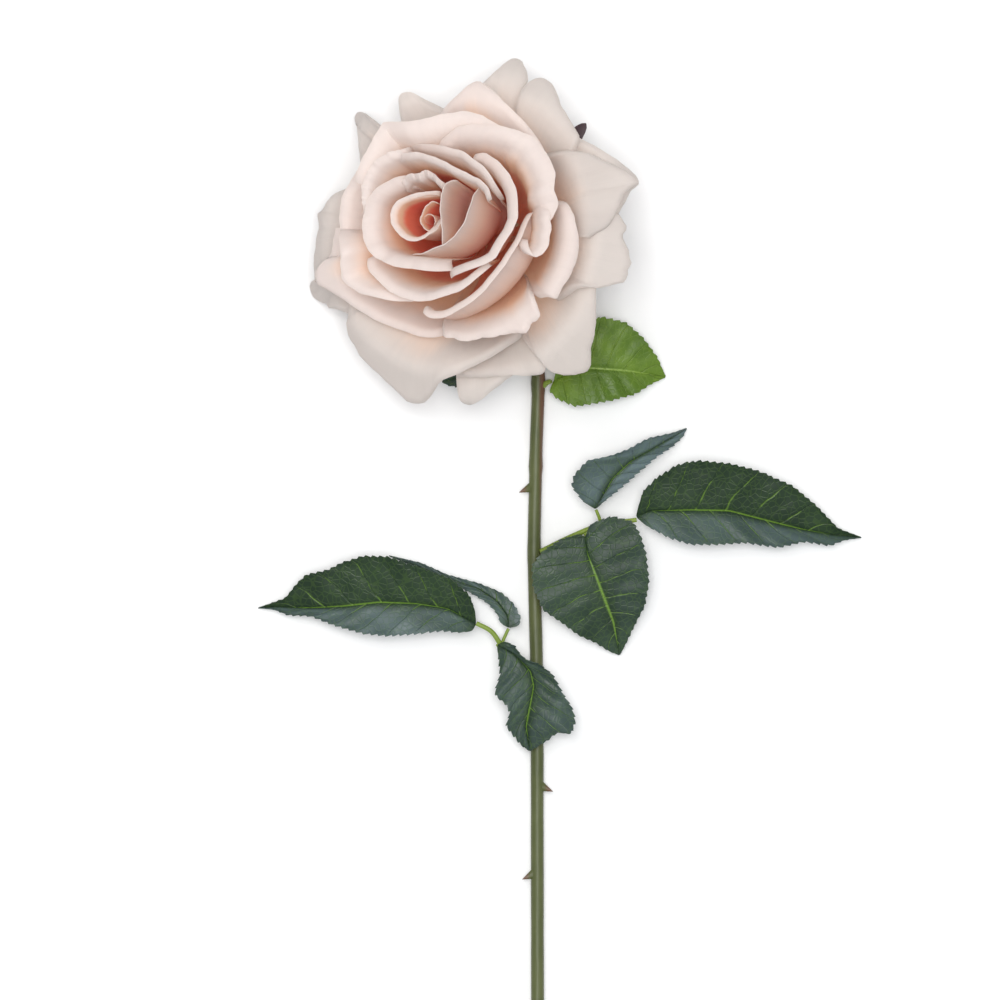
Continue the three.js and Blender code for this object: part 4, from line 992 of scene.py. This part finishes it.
@dataclass
class Bloom:
    """The whole flower head: petals, hip and sepals."""

    datum: Datum
    petals: list[Petal] = field(default_factory=make_petals)
    sepals: tuple[tuple[float, float, float], ...] = (
        (49, 50, -8), (121, 43, -6), (193, 34, -5), (265, 44, -8), (337, 40, -8),
    )

    def build_petals(self, fibre: Tree) -> None:
        """Make every petal from the heart outwards."""
        velvet = PetalFinish("Petal velvet").build(fibre)
        guard = PetalFinish("Guard petal velvet", rim=(0.77, 0.73, 0.70), glow=(0.92, 0.86, 0.82), relief=0.22)
        guard = guard.build(fibre)
        for petal in self.petals:
            petal.build(self.datum, guard if petal.ring is Ring.GUARD else velvet)

    def build_hip(self, material: Material) -> None:
        """Make the hip with the seat on which the petals stand."""
        profile = [(0.0, -1.0), (0.30, -1.0), (0.42, -0.985), (0.66, -0.86), (0.93, -0.62), (1.0, -0.4),
                   (0.94, -0.2), (1.0, -0.08)]
        rings = [(HIP_RADIUS * r if r else 0.01, HIP_LENGTH * h) for r, h in profile]
        for layer in np.linspace(1.0, 0.02, 12):
            r, h = cup(layer, 0.0)
            rings.append((float(r), float(h)))
        obj, across, along = new_grid("Receptacle", 48, 60)
        turn = (across + 1.0) * math.pi
        steps = along * (len(rings) - 1)
        radius = np.interp(steps, range(len(rings)), [r for r, _ in rings])
        height = np.interp(steps, range(len(rings)), [h for _, h in rings])
        radius = radius * (1.0 + 0.012 * np.cos(10 * turn) * smooth(-height, 0.0, 4.0))
        set_points(obj, self.datum.place(stand_on_stem(around(radius, turn, height))))
        with editing(obj):
            bpy.ops.mesh.remove_doubles(threshold=0.03 * MM)
            bpy.ops.mesh.select_all(action="DESELECT")
            bpy.ops.mesh.select_non_manifold()
            bpy.ops.mesh.fill()
            bpy.ops.mesh.select_all(action="SELECT")
            bpy.ops.mesh.normals_make_consistent(inside=False)
        up = stand_on_stem(np.array([[0.0, 0.0, 1.0]])) - stand_on_stem(np.zeros((1, 3)))
        above = (get_points(obj) - self.datum.place(np.array([BLOOM_SEAT]))) @ up[0]
        seat = (above > -0.3 * MM).astype(float)
        add_attribute(obj, "flush", 0.1 + 1.2 * seat)
        finish_piece(obj, material, "hip", "receptacle")

    def build_sepals(self, material: Material) -> None:
        """Make the five sepals, folded back under the petals."""
        for i, (azimuth, reach, drop) in enumerate(self.sepals):
            obj, u, v = new_grid(f"Sepal_{i + 1}", 14, 60)
            start = (0.98 * HIP_RADIUS + 0.15, -0.3 * HIP_LENGTH)
            knee, end = (0.5 * reach, -4.5), (reach, drop)
            m = 1.0 - v
            r = m * m * start[0] + 2 * v * m * knee[0] + v * v * end[0]
            h = m * m * start[1] + 2 * v * m * knee[1] + v * v * end[1]
            wide = 4.3 * (0.75 + 0.25 * smooth(v, 0.0, 0.2)) * (1.0 - v**5) ** 0.6 + 0.15
            wide = wide * (1.0 + 0.05 * wobble(v, i + 0.5, 6.0))
            side = u * wide
            h = h - 0.05 * side**2 + 0.35 * np.exp(-((u / 0.18) ** 2)) * (1 - v)
            h = h + 0.3 * wobble(v, i, 1.5) * v
            c, s = math.cos(math.radians(azimuth)), math.sin(math.radians(azimuth))
            points = np.stack([r * c - side * s, r * s + side * c, h], -1)
            set_points(obj, self.datum.place(stand_on_stem(points)))
            add_attribute(obj, "flush", smooth(v, 0.5, 0.9) * 1.3)
            thicken(obj, SEPAL_WALL, 1.0 - 0.4 * v)
            finish_piece(obj, material, "sepal", f"sepal_{i + 1}")


# --------------------------------------------------------------------- stem and stalks
def tube(name: str, path: Array, radii: Array, sides: int) -> Object:
    """A closed tube along a path, made from a circle that is extruded from point to point.

    Args:
        name: the piece's name.
        path: its centre line in metres.
        radii: its radius in metres at each point.
        sides: faces round it.

    Returns:
        The tube with its ends closed.
    """
    deselect()
    bpy.ops.mesh.primitive_cylinder_add(vertices=sides, radius=1.0, depth=1.0, end_fill_type="NGON")
    obj = bpy.context.object
    obj.name = obj.data.name = name
    activate(obj)
    bpy.ops.object.mode_set(mode="EDIT")
    bpy.ops.mesh.select_all(action="DESELECT")
    bpy.ops.object.mode_set(mode="OBJECT")
    bpy.context.tool_settings.mesh_select_mode = (False, True, False)
    for edge in obj.data.edges:
        a, b = (obj.data.vertices[i].co.z for i in edge.vertices)
        edge.select = abs(a - b) > 0.5
    bpy.ops.object.mode_set(mode="EDIT")
    bpy.ops.mesh.subdivide(number_cuts=len(path) - 2, quadcorner="STRAIGHT_CUT")
    bpy.ops.mesh.select_mode(type="VERT")
    bpy.ops.object.mode_set(mode="OBJECT")
    co = get_points(obj)
    station = np.clip(np.rint((co[:, 2] + 0.5) * (len(path) - 1)).astype(int), 0, len(path) - 1)
    ahead = np.gradient(path, axis=0)
    ahead /= np.linalg.norm(ahead, axis=1, keepdims=True)
    side = np.cross(ahead[0], (0.31, 0.2, 0.93))
    sides_dir = []
    for direction in ahead:
        side = side - direction * np.dot(side, direction)
        side = side / np.linalg.norm(side)
        sides_dir.append(side.copy())
    sides_dir = np.array(sides_dir)
    ups = np.cross(ahead, sides_dir)
    centre, ring = path[station], radii[station][:, None]
    flat = np.hypot(co[:, 0], co[:, 1])
    cosine, sine = ((co[:, k] / np.maximum(flat, 1e-9))[:, None] for k in (0, 1))
    set_points(obj, centre + ring * flat[:, None] * (cosine * sides_dir[station] + sine * ups[station]))
    return obj


def spline(points: list[tuple[float, float, float]], count: int) -> Array:
    """A smooth path through points, evenly spaced.

    Args:
        points: what it passes through, in millimetres.
        count: how many points to return.

    Returns:
        The path as a (count, 3) array.
    """
    p = np.array(points, float)
    p = np.vstack([2 * p[0] - p[1], p, 2 * p[-1] - p[-2]])
    dense = []
    for i in range(1, len(p) - 2):
        knots = [0.0]
        for j in range(3):
            knots.append(knots[-1] + max(np.linalg.norm(p[i + j] - p[i + j - 1]), 1e-6) ** 0.5)
        for t in np.linspace(knots[1], knots[2], 40, endpoint=False):
            a = [(knots[j + 1] - t) / (knots[j + 1] - knots[j]) * p[i + j - 1]
                 + (t - knots[j]) / (knots[j + 1] - knots[j]) * p[i + j] for j in range(3)]
            b = [(knots[j + 2] - t) / (knots[j + 2] - knots[j]) * a[j]
                 + (t - knots[j]) / (knots[j + 2] - knots[j]) * a[j + 1] for j in range(2)]
            dense.append((knots[2] - t) / (knots[2] - knots[1]) * b[0]
                         + (t - knots[1]) / (knots[2] - knots[1]) * b[1])
    dense.append(p[-2])
    dense = np.array(dense)
    length = run_length(dense)
    return read_rows(np.linspace(0.0, length[-1], count), length, dense)


def join_solids(body: Object, part: Object) -> None:
    """Grow one closed solid into another."""
    union = body.modifiers.new("grow", "BOOLEAN")
    union.operation = "UNION"
    union.solver = "EXACT"
    union.object = part
    apply_all(body)
    bpy.data.objects.remove(part, do_unlink=True)


@dataclass
class Stem:
    """The stem from the hip to its slanting cut, with joints and prickles."""

    datum: Datum
    joints: tuple[tuple[float, float], ...] = ((40.0, 0.16), (12.8, 0.22), (-18.0, 0.16), (-64.0, 0.16))
    prickles: tuple[tuple[float, float, float], ...] = (
        (4, -1, 0.25), (-98, 0.9, 0.35), (-128, -0.9, 0.45), (-196, 1, 0.2), (-222, -0.75, 0.6),
    )

    def path(self) -> Array:
        """The stem's centre line in millimetres."""
        top = stand_on_stem(np.array([[0.0, 0.0, -HIP_LENGTH + 0.4], [0.0, 0.0, -HIP_LENGTH - 1.5]]))
        x, y, z = top[1]
        bend = 6.6
        return spline([
            tuple(top[0]), tuple(top[1]),
            (x + 1.8, y - 2.2, z - 0.62 * (z - STEM_RADIUS)),
            (x + 3.6, y - 6.5, STEM_RADIUS + 0.12 * bend),
            (x + 7, y - 18, STEM_RADIUS + 0.05),
            (STEM_X, 52, STEM_RADIUS + 0.1), (STEM_X - 0.3, 14, STEM_RADIUS + 0.25),
            (STEM_X - 0.9, -20, STEM_RADIUS + 0.15), (STEM_X, -60, STEM_RADIUS),
            (STEM_X + 0.2, -125, STEM_RADIUS + 0.2), (STEM_X + 0.4, -185, STEM_RADIUS + 0.1),
            (STEM_X + 1.5, STEM_END_Y - 8, STEM_RADIUS),
        ], 260)

    def build(self, material: Material) -> None:
        """Make the stem."""
        path = self.path()
        along = np.linspace(0.0, 1.0, len(path))
        radii = STEM_RADIUS * (1.0 + 0.02 * wobble(along, 2.0, 9.0) + 0.03 * smooth(along, 0.1, 0.0))
        for y, swell in self.joints:
            radii = radii * (1.0 + swell * np.exp(-(((path[:, 1] - y) / 1.9) ** 2)))
        path[:, 2] = np.maximum(path[:, 2], radii + 0.03)
        obj = tube("Stem", self.datum.place(path), radii * MM, 28)
        for y, side, up in self.prickles:
            join_solids(obj, self.prickle(path, y, side, up))
        self.cut_end(obj)
        co = get_points(obj)
        right = (co[:, 0] - self.datum.place(np.array([STEM_X, 0, 0]))[0]) / (STEM_RADIUS * MM)
        where = (co[:, 1] - self.datum.shift[1]) / MM
        flush = 0.75 * smooth(right, -0.2, 0.9) * smooth(where, -120.0, 40.0) + 0.12
        centre = self.datum.place(path)[np.abs((path[:, 1])[None] - where[:, None]).argmin(1)]
        away = np.linalg.norm((co - centre) / MM, axis=1)
        flush = flush + 1.1 * smooth(away, STEM_RADIUS + 0.5, STEM_RADIUS + 2.0)
        add_attribute(obj, "flush", flush)
        finish_piece(obj, material, "stem", "stem")

    def prickle(self, path: Array, y: float, side: float, up: float) -> Object:
        """One hooked prickle.

        Args:
            path: the stem's centre line.
            y: where along the stem it sits.
            side: how far it leans to +X.
            up: how far it leans up.

        Returns:
            The prickle as a closed solid.
        """
        deselect()
        bpy.ops.mesh.primitive_cone_add(vertices=20, radius1=1.0, radius2=0.04, depth=1.0)
        obj = bpy.context.object
        co = get_points(obj)
        rise = co[:, 2] + 0.5
        centre = path[np.argmin(np.abs(path[:, 1] - y))]
        out = np.array([side, 0.0, up]) / math.hypot(side, up)
        tangent = np.cross(out, (0.0, 1.0, 0.0))
        spread = 1.0 - 0.25 * rise
        points = (centre + np.outer(STEM_RADIUS - 0.6 + 4.2 * rise, out)
                  + np.outer(co[:, 0] * 0.95 * spread, tangent)
                  + np.outer(co[:, 1] * 1.9 * spread - 2.0 * rise**1.8, (0.0, 1.0, 0.0)))
        set_points(obj, self.datum.place(points))
        return obj

    def cut_end(self, obj: Object) -> None:
        """Cut the far end on a slant and close it."""
        at = self.datum.place(np.array([STEM_X, STEM_END_Y + 2.0, STEM_RADIUS]))
        normal = (0.0, -math.cos(STEM_CUT), -math.sin(STEM_CUT))
        with editing(obj):
            bpy.ops.mesh.bisect(plane_co=tuple(at), plane_no=normal, use_fill=True, clear_outer=True)
            bpy.ops.mesh.select_all(action="SELECT")
            bpy.ops.mesh.normals_make_consistent(inside=False)


# Where each leaf blade runs seen from above, in the same measure: the midrib from base to tip, then the left
# and the right margin without the base and the tip.
BLADES: dict[str, tuple[Line, Line, Line]] = {
    "Upper_right_blade": (
        (184, 408, 231, 432, 309, 452, 439, 442, 510, 432, 570, 422),
        (204, 493, 265, 585, 347, 632, 432, 612, 490, 561, 541, 493),
        (167, 371, 194, 343, 255, 316, 364, 333, 466, 359, 513, 391),
    ),
    "Upper_left_blade": (
        (54, 469, -34, 449, -119, 425, -201, 405),
        (7, 428, -68, 398, -136, 384, -173, 388),
        (-7, 503, -102, 496, -170, 456),
    ),
    "Right_leaflet_1": (
        (466, -58, 510, -37, 660, -34, 785, -37, 915, -71, 1040, -102, 1159, -122, 1244, -129),
        (473, -24, 490, 37, 541, 85, 609, 126, 677, 139, 785, 129, 881, 105, 1000, 54, 1083, -14, 1159, -95),
        (500, -88, 575, -133, 653, -156, 745, -156, 830, -150, 955, -167, 1040, -146, 1132, -160, 1183, -139),
    ),
    "Right_leaflet_2": (
        (326, -31, 354, 17, 388, 75, 449, 133, 544, 187, 643, 248),
        (279, -3, 241, 46, 250, 88, 296, 136, 381, 153, 432, 173, 507, 214, 592, 231),
        (347, -14, 406, 29, 473, 88, 541, 146, 592, 180, 629, 214),
    ),
    "Right_leaflet_3": (
        (292, -126, 299, -184, 347, -309, 389, -418, 411, -534),
        (306, -85, 330, -71, 384, -51, 456, -71, 483, -116, 503, -184, 513, -275, 500, -360, 473, -411,
         439, -483),
        (272, -116, 204, -133, 143, -173, 105, -224, 109, -299, 143, -377, 204, -418, 262, -462, 323, -490,
         372, -520),
    ),
    "Left_leaflet_1": (
        (-82, -425, -180, -371, -291, -354, -415, -350, -534, -364, -649, -371, -748, -367, -833, -371),
        (-95, -449, -143, -456, -204, -452, -291, -462, -384, -469, -462, -462, -571, -432, -649, -401,
         -728, -398, -775, -377),
        (-85, -381, -102, -323, -158, -269, -258, -231, -384, -190, -469, -187, -541, -211, -588, -235,
         -666, -252, -704, -292, -734, -333),
    ),
    "Left_leaflet_2": (
        (31, -439, 24, -394, -10, -347, -75, -303, -180, -269, -289, -224, -384, -190),
        (0, -422, -14, -388, -48, -354, -116, -313, -204, -272, -299, -228),
        (65, -432, 75, -405, 54, -360, 14, -320, -65, -286, -180, -255, -269, -214),
    ),
    "Left_leaflet_3": (
        (-10, -496, 51, -527, 105, -585, 116, -636, 99, -714, 88, -775, 102, -862),
        (14, -483, 53, -496, 71, -527, 92, -546, 139, -561, 185, -597, 218, -660, 252, -714, 262, -755,
         248, -802, 201, -796, 163, -826),
        (-7, -551, -3, -597, -20, -651, -17, -673, 14, -697, 31, -729, 17, -775, 37, -802, 68, -840),
    ),
}


@dataclass
class Blade:
    """One leaf blade with a toothed margin."""

    name: str
    start: float
    end: float
    arch: float = 3.0
    left: float = 4.0
    right: float = 4.0
    waves: float = 0.8
    # How much painted grey-blue sheen, a reflection of the light painted into the colour, the left and the right
    # half get.
    painted_sheen: tuple[float, float] = (0.0, 0.0)
    seed: float = 1.0

    def surface(self, u: Array, v: Array) -> Array:
        """The middle of the blade's thickness in drawing millimetres."""
        count = 161
        spots = np.linspace(0.0, 1.0, count)
        rib, left, right = BLADES[self.name]
        base, tip = rib[:2], rib[-2:]
        rib, left, right = (soften(line, count, 0.8) for line in (rib, base + left + tip, base + right + tip))
        middle = read_rows(v, spots, rib)
        edge = np.where(u[:, None] > 0, read_rows(v, spots, left), read_rows(v, spots, right))
        lengths = [np.linalg.norm(np.diff(line, axis=0), axis=1).sum() for line in (left, right)]
        teeth = np.where(u > 0, round(lengths[0] / TOOTH_PITCH), round(lengths[1] / TOOTH_PITCH))
        share = np.abs(u)
        saw = (v * teeth) % 1.0
        bite = (1.0 - saw) ** 1.1 * 0.8 * smooth(v, 0.03, 0.15) * (1.0 - 0.6 * smooth(v, 0.85, 1.0))
        across = edge - middle
        width = np.linalg.norm(across, axis=-1) + 1e-6
        bitten = np.maximum(1.0 - bite * smooth(share, 0.8, 1.0) / width, 0.0)
        flat = middle + across * (share * bitten)[:, None]
        swell = np.sin(np.pi * v)
        fold = np.where(u > 0, self.left, self.right) * share * np.sqrt(np.maximum(swell, 0.0))
        quilt = 0.22 * np.cos(2 * np.pi * (v - 0.16 * share) * 8.0) * smooth(share, 0.05, 0.5) * swell
        z = self.start + (self.end - self.start) * v + self.arch * swell + fold
        z = z + self.waves * wobble(v + 0.15 * u, self.seed, 2.2) * share**1.5 * swell
        z = z - 0.5 * np.exp(-((u / 0.05) ** 2)) * (1.0 - 0.5 * v) + quilt * (1.0 - smooth(share, 0.8, 1.0))
        return np.concatenate([flat, np.maximum(z, LOWEST_LEAF)[:, None]], -1)

    def build(self, datum: Datum, material: Material, slot: str) -> None:
        """Shape, thicken and dress the blade."""
        obj, u, v = new_grid(self.name, 44, 190)
        set_points(obj, datum.place(self.surface(u, v)))
        # Painted sheen mask: where the grey-blue reflection of the light is painted on the blade.
        bloom = np.where(u > 0, self.painted_sheen[0], self.painted_sheen[1]) * smooth(np.abs(u), 0.0, 0.3)
        bloom = bloom * (1.0 + 0.35 * wobble(v + 0.3 * u, self.seed + 2.0, 1.5)) * smooth(v, 0.0, 0.1)
        add_attribute(obj, "painted_sheen", np.clip(bloom, 0.0, 1.0))
        thicken(obj, LEAF_WALL, 1.0 - 0.5 * smooth(np.abs(u), 0.1, 1.0))
        finish_piece(obj, material, slot, f"leaf_{self.name.lower()}")


@dataclass
class Stalk:
    """A leaf stalk with its side stalks, grown as one piece."""

    name: str
    runs: tuple[tuple[float, tuple[tuple[float, float, float], ...]], ...]

    def build(self, datum: Datum, material: Material, slot: str) -> None:
        """Make each run, grow them together and dress them."""
        body = None
        for i, (radius, points) in enumerate(self.runs):
            path = spline(list(points), 14 + 10 * len(points))
            taper = np.linspace(1.15, 0.85, len(path)) if i == 0 else np.linspace(1.0, 0.85, len(path))
            name = self.name if body is None else f"{self.name}_side"
            part = tube(name, datum.place(path), radius * taper * MM, 16)
            if body is None:
                body = part
            else:
                join_solids(body, part)
        add_attribute(body, "flush", np.full(len(body.data.vertices), 0.12))
        finish_piece(body, material, slot, f"leaf_{self.name.lower()}")


@dataclass
class Foliage:
    """All leaves of the rose."""

    datum: Datum
    stalk_radius: float = 0.9

    def stalks(self) -> list[tuple[Stalk, str]]:
        """The stalks with their record slots."""
        r, s, beside = self.stalk_radius, 0.7 * self.stalk_radius, STEM_RADIUS * 1.17 - 0.3
        x = STEM_X
        return [
            (Stalk("Upper_right_stalk", (
                (r, ((x + beside, 39.2, 3.2), (x + beside + 1.2, 40.2, 4.3), (x + beside + 2.6, 40.7, 5.1))),
            )), "leaf_young"),
            (Stalk("Upper_left_stalk", (
                (r, ((x - beside, 45.4, 3.2), (x - beside - 2, 46.0, 3.8), (x - beside - 5.2, 46.8, 4))),
            )), "leaf_stalk"),
            (Stalk("Right_rachis", (
                (r, ((x - 0.8 + beside, -17.8, 3.2), (24, -12.8, 6.2), (34.5, -8.6, 8.4), (46.8, -6.8, 8.9))),
                (s, ((34.5, -8.6, 8.4), (34, -6.2, 9.2), (32.9, -3.4, 10.0))),
                (s, ((34.5, -8.6, 8.4), (31.6, -10.4, 10.4), (28.9, -12.0, 11.9))),
            )), "leaf_stalk"),
            (Stalk("Left_rachis", (
                (r, ((x - beside, -64.4, 3.2), (5, -57, 5.4), (0.5, -50, 7.8), (-3, -45, 8.8), (-8.1, -42.2, 9.1))),
                (s, ((0.5, -50, 7.8), (1.3, -47.6, 7.2), (2.9, -44.1, 6.7))),
                (s, ((0.5, -50, 7.8), (0.0, -49.8, 9.6), (-0.9, -49.7, 11.2))),
            )), "leaf_stalk"),
        ]

    def blades(self) -> list[tuple[Blade, str]]:
        """The blades with their record slots."""
        # The pairs of shares given per blade paint a grey-blue reflection of the light on its left and right half.
        return [
            (Blade("Upper_right_blade", 5.2, 0.6, arch=4, left=2.5, right=1.5,
                   seed=1.1), "leaf_young"),
            (Blade("Upper_left_blade", 4.0, 0.6, arch=2, left=1.5, right=1.5,
                   seed=2.3, painted_sheen=(0.3, 0.2)), "leaf"),
            (Blade("Right_leaflet_1", 8.8, 0.6, arch=3, left=6, right=4,
                   painted_sheen=(0.0, 0.5), seed=3.7), "leaf"),
            (Blade("Right_leaflet_2", 10.0, 0.8, arch=4, left=5, right=-2,
                   painted_sheen=(0.7, 0.95), seed=4.9), "leaf"),
            (Blade("Right_leaflet_3", 12.9, 0.6, arch=4, left=3, right=2.5,
                   painted_sheen=(0.12, 0.1), seed=5.3), "leaf"),
            (Blade("Left_leaflet_1", 9.1, 0.6, arch=5, left=3, right=5,
                   painted_sheen=(0.55, 0.0), seed=6.1), "leaf"),
            (Blade("Left_leaflet_2", 6.6, 0.7, arch=0.5, left=-1, right=1,
                   waves=0.3, painted_sheen=(0.5, 0.45), seed=7.7), "leaf"),
            (Blade("Left_leaflet_3", 11.4, 6.2, arch=2, left=3, right=2,
                   waves=2.0, painted_sheen=(0.3, 0.3), seed=8.9), "leaf"),
        ]

    def build(self, leaf: Material, young: Material, rind: Material) -> None:
        """Make every stalk and blade."""
        for stalk, slot in self.stalks():
            stalk.build(self.datum, rind, slot)
        for blade, slot in self.blades():
            blade.build(self.datum, young if slot == "leaf_young" else leaf, slot)


# --------------------------------------------------------------------- studio
@dataclass
class Studio:
    """Pale floor, soft lights and the camera above."""

    datum: Datum
    camera_height: float = 3.0
    plane: float = 0.03
    frame_width: float = 0.34

    def build(self) -> None:
        """Make the floor, the lights and the camera."""
        deselect()
        bpy.ops.mesh.primitive_plane_add(size=8.0, location=(0.0, 0.0, -0.0006))
        floor = bpy.context.object
        floor.name = "Floor"
        floor.data.materials.append(FloorFinish().build())
        for name, place, size, power, tint in (
            ("Key", (-0.5, 0.7, 2.0), 1.0, 11.0, (1.0, 0.985, 0.96)),
            ("Fill", (1.2, -0.6, 1.6), 1.6, 4.0, (0.95, 0.975, 1.0)),
            ("Top", (0.0, 0.1, 2.5), 0.9, 36.0, (1.0, 1.0, 1.0)),
        ):
            bpy.ops.object.light_add(type="AREA", location=place)
            lamp = bpy.context.object
            lamp.name = lamp.data.name = name
            lamp.data.energy = power
            lamp.data.size = size
            lamp.data.color = tint
            lamp.rotation_euler = (-Vector(place)).to_track_quat("-Z", "Y").to_euler()
        world = bpy.data.worlds.new("Soft room")
        bpy.context.scene.world = world
        world.use_nodes = True
        back = world.node_tree.nodes["Background"]
        back.inputs["Color"].default_value = (0.95, 0.97, 1.0, 1.0)
        back.inputs["Strength"].default_value = 0.46
        centre = self.datum.place(np.zeros(3))
        bpy.ops.object.camera_add(location=(centre[0], centre[1], self.camera_height))
        camera = bpy.context.object
        camera.data.sensor_width = SENSOR
        camera.data.lens = SENSOR * (self.camera_height - self.plane) / self.frame_width
        camera.data.clip_end = 50.0
        bpy.context.scene.camera = camera
        bpy.context.scene.view_settings.view_transform = "Standard"


def main() -> None:
    """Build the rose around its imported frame."""
    logging.basicConfig(level=logging.INFO, format="%(name)s %(message)s")
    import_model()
    datum = Datum.from_frame()
    LOG.info("drawing origin at %s", datum.shift)
    fibre, veins = fibre_group(), vein_group()
    rind = RindFinish("Green rind").build()
    bloom = Bloom(datum)
    bloom.build_petals(fibre)
    bloom.build_hip(RindFinish("Hip rind", base=(0.13, 0.20, 0.05), pale=(0.22, 0.28, 0.09),
                               flush=(0.80, 0.42, 0.26)).build())
    bloom.build_sepals(RindFinish("Sepal", base=(0.07, 0.11, 0.04), pale=(0.12, 0.17, 0.07),
                                  flush=(0.055, 0.03, 0.035)).build())
    Stem(datum).build(rind)
    leaf = LeafFinish("Leaf").build(veins)
    young = LeafFinish("Young leaf", blade=(0.07, 0.135, 0.012), light=(0.13, 0.22, 0.022),
                       vein=(0.24, 0.36, 0.07), strength=0.45, net=0.12, side_veins=6.5).build(veins)
    stalk = RindFinish("Stalk rind", base=(0.16, 0.24, 0.03), pale=(0.24, 0.32, 0.05)).build()
    Foliage(datum).build(leaf, young, stalk)
    Studio(datum).build()


if __name__ == "__main__":
    main()
